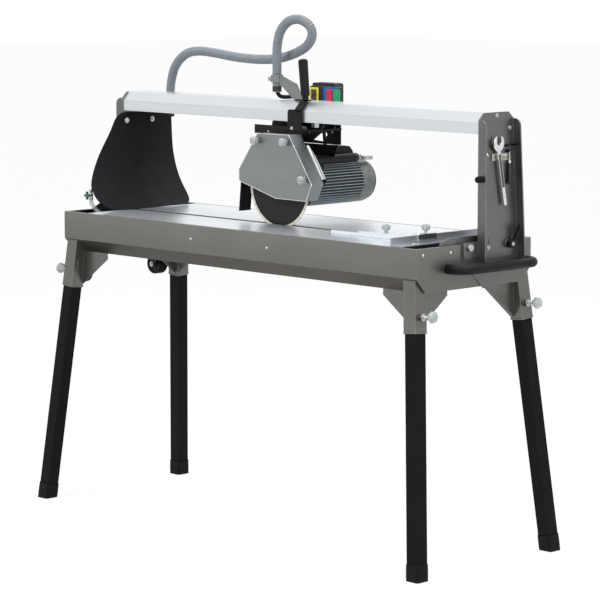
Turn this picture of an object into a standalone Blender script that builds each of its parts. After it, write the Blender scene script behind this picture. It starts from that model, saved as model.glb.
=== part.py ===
"""Bridge-type masonry saw: a wet saw whose motor runs on rollers along a tilting beam over a water tub.

World frame: metres, +Z up, +X along the cut towards the transport handle, +Y away from the operator.
The origin is on the floor under the middle of the tub.
"""
from math import atan2, cos, pi, radians, sin, sqrt

import bmesh
import bpy
from mathutils import Matrix, Vector

GAP = 0.0003                    # clearance between pieces that touch
SIDES = {"left": -1, "right": 1}
CORNERS = {"fl": (-1, -1), "rl": (-1, 1), "fr": (1, -1), "rr": (1, 1)}

# Tub and table
TABLE_Z = 0.905
TUB_X, TUB_Y = 0.750, 0.236     # half length and half width outside
TUB_FACE = 0.083                # height of the upright wall
TUB_CHAMFER = (0.036, 0.040)    # how far the lower band runs in and down
SHEET = 0.0025
LIP = 0.010
BOARD_X = (-0.650, 0.6405)
BOARD_EDGE = 0.2255
BOARD_DEPTH = 0.020
SLOT_Y = (-0.044, -0.018)
CROSSBAR_X = (-0.560, -0.190, 0.190, 0.560)
CROSSBAR = 0.020

# End stop rail and fence
RAIL_X = (0.6408, 0.6448)
RAIL_TOP = 0.928
SADDLE_Y = (-0.122, -0.046)
FENCE_PIVOT = (0.612, -0.085)
FENCE_REACH = 0.322
FENCE_WIDTH = 0.040

# Legs
SOCKET_FOOT = Vector((0.733, 0.221, 0.671))     # centre of a socket's lower end, right rear
FLOOR_POINT = Vector((0.799, 0.278, 0.0))       # where that leg's axis meets the floor
LEG_HALF, LEG_WALL = 0.020, 0.002
SOCKET_HALF, SOCKET_WALL = 0.0225, 0.0019
LEG_TOP = 0.100                 # above the socket's lower end, along the leg
TUBE_END = -0.652
CLAMP_HEIGHT = 0.045            # clamp screw above the socket's lower end

# Tilting bridge
PIVOT = Vector((0.0, -0.030, 0.895))
LOCK_RADIUS = 0.162
WEB_X = (0.7530, 0.7570)
FLANGE_X = 0.783
POST_FRONT, POST_REAR_TOP, POST_REAR_FOOT = 0.007, 0.1505, 0.1755
POST_TOP, POST_SHOULDER, POST_FOOT = 1.2655, 1.246, 0.862
BEAM_X = 0.7527
BEAM_Y = (0.010, 0.142)
BEAM_Z = (1.207, 1.2655)
BEAM_WALL = 0.004
BEAM_SLOT = (0.040, 0.112)

# Carriage
WHEEL_R = 0.019
AXLE_Z = BEAM_Z[0] + BEAM_WALL + WHEEL_R + GAP
AXLE_X = (-0.088, 0.127)
GUIDE_AT = (0.070, BEAM_SLOT[0] + 0.019 + GAP)
GUIDE_R = 0.019
DECK_Z = (1.180, 1.186)
HEAD_PIVOT = Vector((-0.130, 0.075, 1.130))

# Cutting head
BLADE_Y, BLADE_Z, BLADE_R = -0.030, 1.017, 0.125
MOTOR_R = 0.066
GUARD = [(-0.068, 1.172), (0.0645, 1.173), (0.160, 1.033), (0.1365, 0.983),
         (0.0075, 0.984), (-0.1476, 1.0266), (-0.1487, 1.061)]
GUARD_Y = (-0.056, -0.007)
GUARD_KNOBS = [(-0.069, 1.151), (0.052, 1.152), (0.130, 1.046)]

# Hose
HOSE_R = 0.0148
HOSE_BORE = 0.0115
HOSE_RIBS = 150
CLAMP_AT = Vector((-0.080, 0.036, 1.330))

MATERIALS = {
    "stainless": ((0.50, 0.50, 0.48), 0.38, 1.0),
    "aluminium": ((0.80, 0.81, 0.82), 0.35, 1.0),
    "steel": ((0.62, 0.62, 0.62), 0.30, 1.0),
    "black_paint": ((0.02, 0.02, 0.022), 0.35, 0.0),
    "rubber": ((0.025, 0.025, 0.027), 0.80, 0.0),
    "grey_cast": ((0.36, 0.39, 0.41), 0.45, 0.6),
    "clear_plastic": ((0.80, 0.83, 0.84), 0.25, 0.0),
    "blue_plastic": ((0.02, 0.18, 0.50), 0.35, 0.0),
    "red_plastic": ((0.75, 0.03, 0.05), 0.35, 0.0),
    "green_plastic": ((0.03, 0.50, 0.15), 0.35, 0.0),
    "hose_grey": ((0.26, 0.29, 0.31), 0.55, 0.0),
}


# ---------------------------------------------------------------- helpers

def clear_scene():
    for item in list(bpy.data.objects):
        bpy.data.objects.remove(item, do_unlink=True)


def material(name):
    found = bpy.data.materials.get(name)
    if found:
        return found
    colour, roughness, metallic = MATERIALS[name]
    made = bpy.data.materials.new(name)
    made.use_nodes = True
    shader = made.node_tree.nodes["Principled BSDF"]
    shader.inputs["Base Color"].default_value = (*colour, 1.0)
    shader.inputs["Roughness"].default_value = roughness
    shader.inputs["Metallic"].default_value = metallic
    return made


def place(axis, along, first, second):
    """A point from its coordinate along an axis and its outline coordinates in the other two."""
    if axis == "x":
        return Vector((along, first, second))
    if axis == "y":
        return Vector((first, along, second))
    return Vector((first, second, along))


def add_prism(bm, outline, axis, low, high):
    """A closed prism: an outline pushed along an axis."""
    near = [bm.verts.new(place(axis, low, *point)) for point in outline]
    far = [bm.verts.new(place(axis, high, *point)) for point in outline]
    bm.faces.new(near)
    bm.faces.new(far)
    for here in range(len(outline)):
        there = (here + 1) % len(outline)
        bm.faces.new((near[here], near[there], far[there], far[here]))


def add_frame(bm, outer, inner, axis, low, high):
    """A prism with an open middle: two outlines with the same number of points."""
    rings = [[bm.verts.new(place(axis, along, *point)) for point in outline]
             for outline, along in ((outer, low), (outer, high), (inner, high), (inner, low))]
    count = len(outer)
    for ring, following in zip(rings, rings[1:] + rings[:1]):
        for here in range(count):
            there = (here + 1) % count
            bm.faces.new((ring[here], ring[there], following[there], following[here]))


def add_box(bm, low, high):
    add_prism(bm, rect(low[0], high[0], low[1], high[1]), "z", low[2], high[2])


def add_lathe(bm, profile, axis, centre, sides):
    """A turned body: profile points are (radius, distance along the axis from the centre)."""
    rings = []
    for radius, along in profile:
        if radius == 0:
            rings.append([bm.verts.new(centre + place(axis, along, 0, 0))])
            continue
        ring = []
        for step in range(sides):
            turn = 2 * pi * step / sides
            ring.append(bm.verts.new(centre + place(axis, along, radius * cos(turn), radius * sin(turn))))
        rings.append(ring)
    closed = profile[0][0] > 0
    pairs = list(zip(rings, rings[1:] + rings[:1])) if closed else list(zip(rings, rings[1:]))
    for ring, following in pairs:
        for here in range(sides):
            there = (here + 1) % sides
            corners = [ring[here % len(ring)], ring[there % len(ring)],
                       following[there % len(following)], following[here % len(following)]]
            bm.faces.new(list(dict.fromkeys(corners)))


def add_rod(bm, axis, centre, radius, low, high, sides=16):
    add_lathe(bm, [(0, low), (radius, low), (radius, high), (0, high)], axis, centre, sides)


def rect(low_a, high_a, low_b, high_b):
    return [(low_a, low_b), (high_a, low_b), (high_a, high_b), (low_a, high_b)]


def arc(centre, radius, start, end, steps):
    """Points on an arc, angles in degrees."""
    return [(centre[0] + radius * cos(radians(start + (end - start) * step / steps)),
             centre[1] + radius * sin(radians(start + (end - start) * step / steps)))
            for step in range(steps + 1)]


def rounded_rect(half_a, half_b, radius, steps=2, centre=(0.0, 0.0)):
    points = []
    for quarter, (sign_a, sign_b) in enumerate(((1, 1), (-1, 1), (-1, -1), (1, -1))):
        corner = (centre[0] + sign_a * (half_a - radius), centre[1] + sign_b * (half_b - radius))
        points += arc(corner, radius, 90 * quarter, 90 * quarter + 90, steps)
    return points


def inset(outline, distance):
    """A convex outline moved inwards by a distance, corner for corner."""
    centre = Vector([sum(values) / len(outline) for values in zip(*outline)])
    moved = []
    for index, point in enumerate(outline):
        here = Vector(point)
        before = here - Vector(outline[index - 1])
        after = Vector(outline[(index + 1) % len(outline)]) - here
        normals = []
        for edge in (before, after):
            normal = Vector((-edge.y, edge.x)).normalized()
            normals.append(normal if normal.dot(centre - here) > 0 else -normal)
        middle = (normals[0] + normals[1]).normalized()
        moved.append(tuple(here + middle * (distance / middle.dot(normals[0]))))
    return moved


FRAMES = {}


def add_empty(name, matrix, parent=None):
    """An empty that carries the pieces of one moving body; its origin is on the joint's axis."""
    empty = bpy.data.objects.new(name, None)
    bpy.context.scene.collection.objects.link(empty)
    FRAMES[name] = matrix
    base = Matrix.Identity(4)
    if parent:
        empty.parent = bpy.data.objects[parent]
        base = FRAMES[parent].inverted()
    empty.matrix_local = base @ matrix
    return name


def make_object(name, bm, parent, local):
    """Turn a bmesh into an object on an empty. World shapes are moved into the empty's frame."""
    bmesh.ops.recalc_face_normals(bm, faces=bm.faces)
    if parent and not local:
        bm.transform(FRAMES[parent].inverted())
    mesh = bpy.data.meshes.new(name)
    bm.to_mesh(mesh)
    bm.free()
    made = bpy.data.objects.new(name, mesh)
    bpy.context.scene.collection.objects.link(made)
    if parent:
        made.parent = bpy.data.objects[parent]
    return made


def piece(name, bm, finish, parent=None, local=False, smooth=None):
    made = make_object(name, bm, parent, local)
    made.data.materials.append(material(finish))
    if smooth:
        made.data.shade_smooth()
        made.data.set_sharp_from_angle(angle=radians(smooth))
    return made


def boolean(target, bm, operation, local=False):
    """Join or cut a target with a shape, which stays behind as a hidden guide."""
    parent = target.parent.name if target.parent else None
    guide = make_object(f"{target.name}_guide", bm, parent, local)
    guide.hide_render = True
    guide.display_type = "WIRE"
    step = target.modifiers.new(operation.lower(), "BOOLEAN")
    step.operation = operation
    step.object = guide
    return target


def cut(target, bm, local=False):
    return boolean(target, bm, "DIFFERENCE", local)


def weld(target, bm, local=False):
    return boolean(target, bm, "UNION", local)


def shape(builder, *arguments):
    """A bmesh holding one call of an add_ function."""
    bm = bmesh.new()
    builder(bm, *arguments)
    return bm


def star_outline(radius, depth, lobes, points_per_lobe=4):
    """The scalloped rim of a hand knob."""
    count = lobes * points_per_lobe
    points = []
    for step in range(count):
        turn = 2 * pi * step / count
        reach = radius - depth / 2 + depth / 2 * cos(lobes * turn)
        points.append((reach * cos(turn), reach * sin(turn)))
    return points


def add_star_knob(bm, axis, centre, radius, low, high, lobes=6):
    """A scalloped knob with a chamfer on both rims."""
    chamfer = (high - low) * 0.25
    outline = star_outline(radius, radius * 0.10, lobes)
    small = [(a * 0.88, b * 0.88) for a, b in outline]
    rings = []
    for points, along in ((small, low), (outline, low + chamfer), (outline, high - chamfer), (small, high)):
        rings.append([bm.verts.new(centre + place(axis, along, *point)) for point in points])
    for ring, following in zip(rings, rings[1:]):
        for here in range(len(outline)):
            there = (here + 1) % len(outline)
            bm.faces.new((ring[here], ring[there], following[there], following[here]))
    bm.faces.new(rings[0])
    bm.faces.new(rings[-1])


def catmull(points, steps):
    """A smooth curve through the route's points."""
    route = [Vector(point) for point in points]
    padded = [2 * route[0] - route[1]] + route + [2 * route[-1] - route[-2]]
    curve = []
    for before, start, end, after in zip(padded, padded[1:], padded[2:], padded[3:]):
        for step in range(steps):
            t = step / steps
            curve.append(0.5 * (2 * start + (end - before) * t
                                + (2 * before - 5 * start + 4 * end - after) * t * t
                                + (3 * start - before - 3 * end + after) * t ** 3))
    curve.append(route[-1])
    return curve


def even_points(points, count):
    """The same curve as count equal stretches."""
    lengths = [0.0]
    for here, there in zip(points, points[1:]):
        lengths.append(lengths[-1] + (there - here).length)
    result = []
    index = 0
    for step in range(count + 1):
        wanted = lengths[-1] * step / count
        while index < len(points) - 2 and lengths[index + 1] < wanted:
            index += 1
        share = (wanted - lengths[index]) / (lengths[index + 1] - lengths[index])
        result.append(points[index].lerp(points[index + 1], min(max(share, 0), 1)))
    return result


def tube_mesh(name, points, radii, resolution=2):
    """A poly-spline tube turned into a mesh, with filled ends."""
    curve = bpy.data.curves.new(name, "CURVE")
    curve.dimensions = "3D"
    curve.bevel_depth = 1.0
    curve.bevel_resolution = resolution
    curve.use_fill_caps = True
    spline = curve.splines.new("POLY")
    spline.points.add(len(points) - 1)
    for target, point, radius in zip(spline.points, points, radii):
        target.co = (*point, 1.0)
        target.radius = radius
    holder = bpy.data.objects.new(name, curve)
    mesh = bpy.data.meshes.new_from_object(holder)
    bpy.data.objects.remove(holder, do_unlink=True)
    bm = bmesh.new()
    bm.from_mesh(mesh)
    bmesh.ops.remove_doubles(bm, verts=bm.verts, dist=0.00001)
    return bm


# ---------------------------------------------------------------- tub and table

def tub_outline(grow=0.0, top=TABLE_Z):
    """Cross-section of the tub in (y, z), grown outwards by a distance."""
    low = TABLE_Z - TUB_FACE - TUB_CHAMFER[1]
    slant = grow * 0.41
    return [(-TUB_Y - grow, top), (-TUB_Y - grow, TABLE_Z - TUB_FACE - slant),
            (-TUB_Y + TUB_CHAMFER[0] - slant, low - grow), (TUB_Y - TUB_CHAMFER[0] + slant, low - grow),
            (TUB_Y + grow, TABLE_Z - TUB_FACE - slant), (TUB_Y + grow, top)]


def add_socket_shapes(tub, corner, matrix):
    """Socket tube, clamp nut and two gussets, welded under one corner of the tub."""
    side_x, side_y = CORNERS[corner]
    outer = rect(-SOCKET_HALF, SOCKET_HALF, -SOCKET_HALF, SOCKET_HALF)
    tube = shape(add_prism, outer, "z", 0, 0.150)
    tube.transform(matrix)
    weld(tub, tube)
    nut = [(a, b + CLAMP_HEIGHT) for a, b in arc((0, 0), 0.010, 0, 300, 5)]
    ends = sorted((side_x * (SOCKET_HALF - 0.001), side_x * (SOCKET_HALF + 0.008)))
    boss = shape(add_prism, nut, "x", *ends)
    boss.transform(matrix)
    weld(tub, boss)
    floor = TABLE_Z - TUB_FACE - TUB_CHAMFER[1]
    lean = (FLOOR_POINT - SOCKET_FOOT) / SOCKET_FOOT.z
    low, high = SOCKET_FOOT.z + 0.005, floor + 0.001
    for axis, start, reach, middle, turned in (("y", SOCKET_FOOT.x, 0.590, 0.1985, (side_x, side_y)),
                                               ("x", SOCKET_FOOT.y, 0.084, 0.7235, (side_y, side_x))):
        near = start - SOCKET_HALF + 0.001
        slope = lean.x if axis == "y" else lean.y
        outline = [(near, low), (near - slope * (high - low), high), (reach, high), (reach, floor - 0.018)]
        ends = sorted((turned[1] * (middle - 0.0015), turned[1] * (middle + 0.0015)))
        weld(tub, shape(add_prism, [(turned[0] * a, b) for a, b in outline], axis, *ends))


def cut_socket_bores(tub, corner, matrix):
    side = CORNERS[corner][0]
    bore = SOCKET_HALF - SOCKET_WALL
    inside = shape(add_prism, rect(-bore, bore, -bore, bore), "z", -0.010, LEG_TOP + 0.004)
    inside.transform(matrix)
    cut(tub, inside)
    ends = sorted((0.0, side * 0.040))
    hole = shape(add_rod, "x", Vector((0, 0, CLAMP_HEIGHT)), 0.0043, *ends, 12)
    hole.transform(matrix)
    cut(tub, hole)


def make_tub():
    tub = piece("tub", shape(add_prism, tub_outline(), "x", -TUB_X, TUB_X), "stainless")
    for corner in CORNERS:
        add_socket_shapes(tub, corner, leg_matrix(corner))
    inner = tub_outline(-SHEET, TABLE_Z - SHEET)
    cut(tub, shape(add_prism, inner, "x", -TUB_X + SHEET, TUB_X - SHEET))
    mouth = (TUB_X - LIP, TUB_Y - LIP)
    cut(tub, shape(add_box, (-mouth[0], -mouth[1], TABLE_Z - 0.010), (mouth[0], mouth[1], TABLE_Z + 0.010)))
    top = TABLE_Z - BOARD_DEPTH - GAP
    for middle in CROSSBAR_X:
        half = CROSSBAR / 2
        reach = TUB_Y - SHEET / 2
        outline = rect(middle - half, middle + half, top - CROSSBAR, top)
        weld(tub, shape(add_prism, outline, "y", -reach, reach))
    for corner in CORNERS:
        cut_socket_bores(tub, corner, leg_matrix(corner))
    cut(tub, shape(add_rod, "x", Vector((0, PIVOT.y, PIVOT.z)), 0.0063, -0.760, 0.760))


def board_outline(low, high, slot_side):
    """Comb profile of a table board in (y, z): a flat skin on ribs, bevelled under the blade slot."""
    top, skin, foot = TABLE_Z, TABLE_Z - 0.005, TABLE_Z - BOARD_DEPTH
    rib = 0.004
    count = 5
    pitch = (high - low - rib) / (count - 1)
    points = [(high, top), (low, top)]
    for index in range(count):
        start = low + pitch * index
        end = start + rib
        if slot_side > 0 and index == count - 1:
            start, end = start - 0.010, end - 0.010
        if slot_side < 0 and index == 0:
            start, end = start + 0.010, end + 0.010
        if index > 0 or slot_side < 0:
            points.append((start, skin))
        points += [(start, foot), (end, foot)]
        if index < count - 1 or slot_side > 0:
            points.append((end, skin))
    if slot_side < 0:
        points.insert(2, (low, top - 0.002))
    else:
        points.append((high, top - 0.002))
    return points


def make_boards():
    front = board_outline(-BOARD_EDGE, SLOT_Y[0], 1)
    rear = board_outline(SLOT_Y[1], BOARD_EDGE, -1)
    piece("table_front_board", shape(add_prism, front, "x", *BOARD_X), "aluminium")
    piece("table_rear_board", shape(add_prism, rear, "x", *BOARD_X), "aluminium")


def make_end_stop():
    low = TABLE_Z - 0.019
    seat = TABLE_Z + GAP
    outline = [(RAIL_X[0], low), (RAIL_X[1], low), (RAIL_X[1], seat), (0.690, seat),
               (0.690, seat + 0.003), (RAIL_X[1], seat + 0.003), (RAIL_X[1], RAIL_TOP), (RAIL_X[0], RAIL_TOP)]
    piece("end_stop_rail", shape(add_prism, outline, "y", -BOARD_EDGE, BOARD_EDGE), "aluminium")


def make_fence():
    slide = add_empty("fence_slide_axis", Matrix.Translation((RAIL_X[0], sum(SADDLE_Y) / 2, RAIL_TOP)))
    swing = add_empty("fence_arm_axis", Matrix.Translation((*FENCE_PIVOT, 0.915)), slide)
    foot, roof, top = 0.9088, RAIL_TOP + GAP, 0.9405
    low = TABLE_Z + GAP + 0.0002
    outline = [(0.629, low), (RAIL_X[0] - GAP, low), (RAIL_X[0] - GAP, roof),
               (RAIL_X[1] + GAP, roof), (RAIL_X[1] + GAP, foot), (0.657, foot), (0.657, top - 0.008),
               (0.649, top), (0.637, top), (0.629, top - 0.008)]
    saddle = piece("fence_slide", shape(add_prism, outline, "y", *SADDLE_Y), "steel", slide)
    tongue = (FENCE_PIVOT[0] - 0.012, FENCE_PIVOT[1] - 0.012, low)
    weld(saddle, shape(add_box, tongue, (0.631, FENCE_PIVOT[1] + 0.012, 0.910)))
    stud = [(0, -0.002), (0.004, -0.002), (0.004, 0.0113), (0.0075, 0.0113), (0.0075, 0.0153), (0, 0.0153)]
    weld(saddle, shape(add_lathe, stud, "z", Vector((*FENCE_PIVOT, 0.910)), 12))
    tail = FENCE_PIVOT[0] - FENCE_REACH
    half = FENCE_WIDTH / 2
    blank = shape(add_box, (tail, FENCE_PIVOT[1] - half, low), (0.592, FENCE_PIVOT[1] + half, 0.9155))
    arm = piece("fence_arm", blank, "aluminium", swing)
    strap = [(0.400, -half), (0.585, -half)] + arc((FENCE_PIVOT[0], 0), 0.0155, -90, 90, 6)
    strap += [(0.585, half), (0.400, half)]
    weld(arm, shape(add_prism, [(a, b + FENCE_PIVOT[1]) for a, b in strap], "z", 0.9105, 0.9210))
    cut(arm, shape(add_rod, "z", Vector((*FENCE_PIVOT, 0.915)), 0.0043, -0.02, 0.02, 12))
    profile = [(0, GAP), (0.005, GAP), (0.005, 0.006), (0.0095, 0.008), (0.0125, 0.013),
               (0.0125, 0.019), (0.009, 0.024), (0, 0.025)]
    for name, parent, spot in (("fence_slide_knob", slide, Vector((0.643, -0.085, top))),
                               ("fence_arm_knob", swing, Vector((0.490, -0.085, 0.921)))):
        turn = add_empty(f"{name}_axis", Matrix.Translation(spot), parent)
        piece(name, shape(add_lathe, profile, "z", spot, 16), "clear_plastic", turn, smooth=40)


# ---------------------------------------------------------------- legs

def leg_matrix(corner):
    """Frame of one leg: +Z up along the leg, +X and +Y near the world's, origin at the socket's foot."""
    sign = Vector((*CORNERS[corner], 1))
    foot = SOCKET_FOOT * sign
    up = (foot - FLOOR_POINT * sign).normalized()
    across = (Vector((1, 0, 0)) - up * up.x).normalized()
    rotation = Matrix((across, up.cross(across), up)).transposed().to_4x4()
    return Matrix.Translation(foot) @ rotation


def make_leg(corner, frame):
    outer = rect(-LEG_HALF, LEG_HALF, -LEG_HALF, LEG_HALF)
    inner = rect(*(2 * (-LEG_HALF + LEG_WALL, LEG_HALF - LEG_WALL)))
    piece(f"leg_{corner}", shape(add_frame, outer, inner, "z", TUBE_END, LEG_TOP), "black_paint", frame, True)
    cup = rounded_rect(0.0228, 0.0228, 0.005)
    foot = piece(f"foot_{corner}", shape(add_prism, cup, "z", TUBE_END - 0.060, TUBE_END + 0.022),
                 "rubber", frame, True)
    bore = LEG_HALF + GAP
    cut(foot, shape(add_prism, rect(-bore, bore, -bore, bore), "z", TUBE_END - GAP, TUBE_END + 0.030), True)
    cut(foot, shape(add_box, (-1.0, -0.5, -0.2), (1.0, 0.5, 0.0)))


def make_clamp_knob(corner, frame):
    side = CORNERS[corner][0]
    screw = Vector((0, 0, CLAMP_HEIGHT))
    axis_frame = add_empty(f"leg_knob_{corner}_axis", FRAMES[frame] @ Matrix.Translation(screw), frame)
    near, far = LEG_HALF + GAP, SOCKET_HALF + 0.038
    bm = shape(add_star_knob, "x", Vector((0, 0, 0)), 0.022, *sorted((side * far, side * (far + 0.014))))
    knob = piece(f"leg_knob_{corner}", bm, "clear_plastic", axis_frame, True, smooth=40)
    ends = sorted((side * near, side * (far + 0.004)))
    weld(knob, shape(add_rod, "x", Vector((0, 0, 0)), 0.0040, *ends, 12), True)


def make_legs():
    for corner in CORNERS:
        matrix = leg_matrix(corner)
        fixed = add_empty(f"socket_{corner}_frame", matrix)
        sliding = add_empty(f"leg_{corner}_axis", matrix)
        make_leg(corner, sliding)
        make_clamp_knob(corner, fixed)


# ---------------------------------------------------------------- tub fittings

def make_tilt_plate(name, side):
    """Pivot plate folded over the tub's rim, with a locking quadrant behind the post."""
    centre = (PIVOT.y, PIVOT.z)
    outline = [(-0.052, TABLE_Z + 0.0035), (-0.052, 0.861), (0.033, 0.776), (0.087, 0.776), (0.150, 0.839)]
    outline += arc(centre, LOCK_RADIUS + 0.023, -8, 53, 10) + arc(centre, LOCK_RADIUS - 0.023, 53, 6, 8)
    outline += [(0.012, TABLE_Z + 0.0035)]
    low, high = TUB_X + GAP, WEB_X[0] - GAP
    plate = piece(name, shape(add_prism, outline, "x", *sorted((side * low, side * high))), "stainless")
    fold = sorted((side * 0.7355, side * (high - 0.0005)))
    weld(plate, shape(add_box, (fold[0], -0.0515, TABLE_Z + GAP), (fold[1], -0.004, TABLE_Z + 0.0033)))
    cheek = [(-0.130, 0.870), (0.190, 0.870), (0.190, 0.909), (0.170, 0.925),
             (-0.099, 0.925), (-0.130, 0.909)]
    weld(plate, shape(add_prism, cheek, "x", *sorted((side * 0.7352, side * 0.7382))))
    slot = arc(centre, LOCK_RADIUS + 0.0055, -2.5, 47.5, 9) + arc(centre, LOCK_RADIUS - 0.0055, 47.5, -2.5, 9)
    cut(plate, shape(add_prism, slot, "x", *sorted((side * (low - 0.005), side * (high + 0.005)))))
    cut(plate, shape(add_rod, "x", Vector((side * 0.745, PIVOT.y, PIVOT.z)), 0.0063, -0.02, 0.02))


def make_handle():
    """Bent tube at the right-hand end for pulling the saw along on its wheels."""
    radius, bend = 0.014, 0.034
    reach, level = 0.808, 0.842
    front, rear = -0.110, 0.200
    points = [(TUB_X + GAP, front)]
    points += arc((reach - bend, front + bend), bend, 270, 360, 6)
    points += arc((reach - bend, rear - bend), bend, 0, 90, 6)
    points += [(TUB_X + GAP, rear)]
    route = [Vector((a, b, level)) for a, b in points]
    bm = tube_mesh("transport_handle", route, [radius] * len(route), 3)
    handle = piece("transport_handle", bm, "rubber", smooth=40)
    for middle in (front, rear):
        flange = Vector((TUB_X + GAP, middle, level))
        weld(handle, shape(add_rod, "x", flange, 0.020, 0, 0.004, 16))


def make_transport_wheels():
    """Two wheels on one axle under the left-hand end, in a pair of forks."""
    hub = Vector((-0.762, 0.0, 0.708))
    low = TABLE_Z - TUB_FACE - TUB_CHAMFER[1] - GAP
    forks = bmesh.new()
    for side in (-1, 1):
        for near in (0.0930, 0.1400):
            ends = sorted((side * near, side * (near + 0.003)))
            cheek = [(-0.775, 0.697), (-0.749, 0.697), (-0.726, 0.745),
                     (-0.726, low - 0.002), (-0.748, low - 0.002)]
            add_prism(forks, cheek, "y", *ends)
    bracket = piece("wheel_bracket", shape(add_box, (-0.7485, -0.1430, low - 0.003), (-0.726, 0.1430, low)),
                    "black_paint")
    weld(bracket, forks)
    cut(bracket, shape(add_rod, "y", hub, 0.0045, -0.2, 0.2, 12))
    axle = add_empty("transport_wheels_axis", Matrix.Translation(hub))
    profile = [(0.006, -0.018), (0.014, -0.018), (0.015, -0.013), (0.026, -0.013), (0.028, -0.017),
               (0.031, -0.0165), (0.032, -0.010), (0.032, 0.010), (0.031, 0.0165), (0.028, 0.017),
               (0.026, 0.013), (0.015, 0.013), (0.014, 0.018), (0.006, 0.018)]
    wheels = bmesh.new()
    for side in (-1, 1):
        add_lathe(wheels, profile, "y", hub + Vector((0, side * 0.118, 0)), 20)
    made = piece("transport_wheels", wheels, "rubber", axle, smooth=40)
    rod = [(0, -0.150), (0.007, -0.150), (0.007, -0.1445), (0.0042, -0.1445), (0.0042, 0.1445),
           (0.007, 0.1445), (0.007, 0.150), (0, 0.150)]
    weld(made, shape(add_lathe, rod, "y", hub, 12))
    weld(made, shape(add_rod, "y", hub, 0.0068, 0.1005, 0.1355, 12))
    weld(made, shape(add_rod, "y", hub, 0.0068, -0.1355, -0.1005, 12))


def make_water_supply():
    """Submersible pump in the tub, its clear hose, and the tap at the left-hand end."""
    floor = TABLE_Z - TUB_FACE - TUB_CHAMFER[1] + SHEET
    base = rounded_rect(0.034, 0.045, 0.010, 2, (-0.690, -0.110))
    case = shape(add_prism, base, "z", floor + GAP, floor + 0.062)
    pump = piece("water_pump", case, "black_paint", smooth=40)
    weld(pump, shape(add_box, (-0.712, -0.138, floor + 0.060), (-0.668, -0.082, floor + 0.074)))
    tap = Vector((-0.7365, -0.150, 0.9480))
    route = catmull([(-0.690, -0.110, floor + 0.070), (-0.690, -0.110, floor + 0.087),
                     (-0.702, -0.120, floor + 0.108), (-0.720, -0.138, floor + 0.126),
                     (-0.7335, -0.1475, floor + 0.140), tap - Vector((0, 0, 0.012)),
                     tap - Vector((0, 0, 0.008))], 3)
    weld(pump, tube_mesh("water_hose", route, [0.0065] * len(route)))
    body = [(0, -0.0055), (0.007, -0.0055), (0.007, 0.004), (0.005, 0.006), (0.005, 0.012), (0.007, 0.013),
            (0.007, 0.020), (0, 0.020)]
    valve = piece("water_tap", shape(add_lathe, body, "z", tap, 12), "steel", smooth=40)
    weld(valve, shape(add_rod, "y", tap + Vector((0, 0, 0.001)), 0.0045, -0.012, 0, 12))
    turn = add_empty("tap_lever_axis", Matrix.Translation(tap + Vector((0, -0.0125, 0.001))))
    bm = shape(add_prism, [(-0.018, -0.005), (0.006, -0.006), (0.006, 0.006), (-0.018, 0.004)], "y",
               -0.0090 + GAP, GAP)
    bm.transform(FRAMES[turn])
    piece("tap_lever", bm, "green_plastic", turn)


# ---------------------------------------------------------------- tilting bridge

def make_beam(frame):
    """Hanging-track extrusion: chamfered top, open slot between two inner lips."""
    front, rear = BEAM_Y
    low, top = BEAM_Z
    wall = BEAM_WALL
    shoulder = low + 0.033
    cham = (0.023, top - shoulder)
    outline = [(BEAM_SLOT[0], low), (front, low), (front, shoulder), (front + cham[0], top),
               (rear - cham[0], top), (rear, shoulder), (rear, low), (BEAM_SLOT[1], low),
               (BEAM_SLOT[1], low + wall), (rear - wall, low + wall), (rear - wall, shoulder - 0.0015),
               (rear - cham[0] - 0.0015, top - wall), (front + cham[0] + 0.0015, top - wall),
               (front + wall, shoulder - 0.0015), (front + wall, low + wall), (BEAM_SLOT[0], low + wall)]
    piece("beam", shape(add_prism, outline, "x", -BEAM_X, BEAM_X), "aluminium", frame)


def make_post(name, side, frame):
    """Folded channel post that opens outwards, wider at its foot, with an ear for the pivot bolt."""
    web = [(POST_FRONT, POST_FOOT), (POST_REAR_FOOT, POST_FOOT), (POST_REAR_TOP, POST_SHOULDER),
           (POST_REAR_TOP - 0.0225, POST_TOP), (POST_FRONT + 0.0206, POST_TOP), (POST_FRONT, POST_SHOULDER),
           (POST_FRONT, 0.9080), (-0.046, 0.9080), (-0.052, 0.9020), (-0.052, 0.8720), (-0.046, 0.8660),
           (POST_FRONT, 0.8660)]
    ends = sorted((side * WEB_X[0], side * WEB_X[1]))
    post = piece(name, shape(add_prism, web, "x", *ends), "stainless", frame)
    corner = (FLANGE_X - 0.020, POST_SHOULDER - 0.020)
    root = WEB_X[0] + 0.001
    outline = [(root, 0.850), (FLANGE_X, 0.850), (FLANGE_X, POST_SHOULDER - 0.022)]
    outline += arc(corner, 0.020, 12, 90, 4) + [(root, POST_SHOULDER)]
    outline = [(side * a, b) for a, b in outline]
    weld(post, shape(add_prism, outline, "y", POST_FRONT - 0.0005, POST_FRONT + 0.0035))
    rear = shape(add_prism, outline, "y", POST_REAR_TOP - 0.0035, POST_REAR_TOP + 0.0005)
    slope = (POST_REAR_FOOT - POST_REAR_TOP) / (POST_SHOULDER - POST_FOOT)
    for vertex in rear.verts:
        vertex.co.y += (POST_SHOULDER - vertex.co.z) * slope
    weld(post, rear)
    middle = side * sum(WEB_X) / 2
    for spot_y, spot_z, radius in ((PIVOT.y, PIVOT.z, 0.0063), (PIVOT.y + LOCK_RADIUS, PIVOT.z, 0.0053)):
        cut(post, shape(add_rod, "x", Vector((middle, spot_y, spot_z)), radius, -0.01, 0.01))


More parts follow.
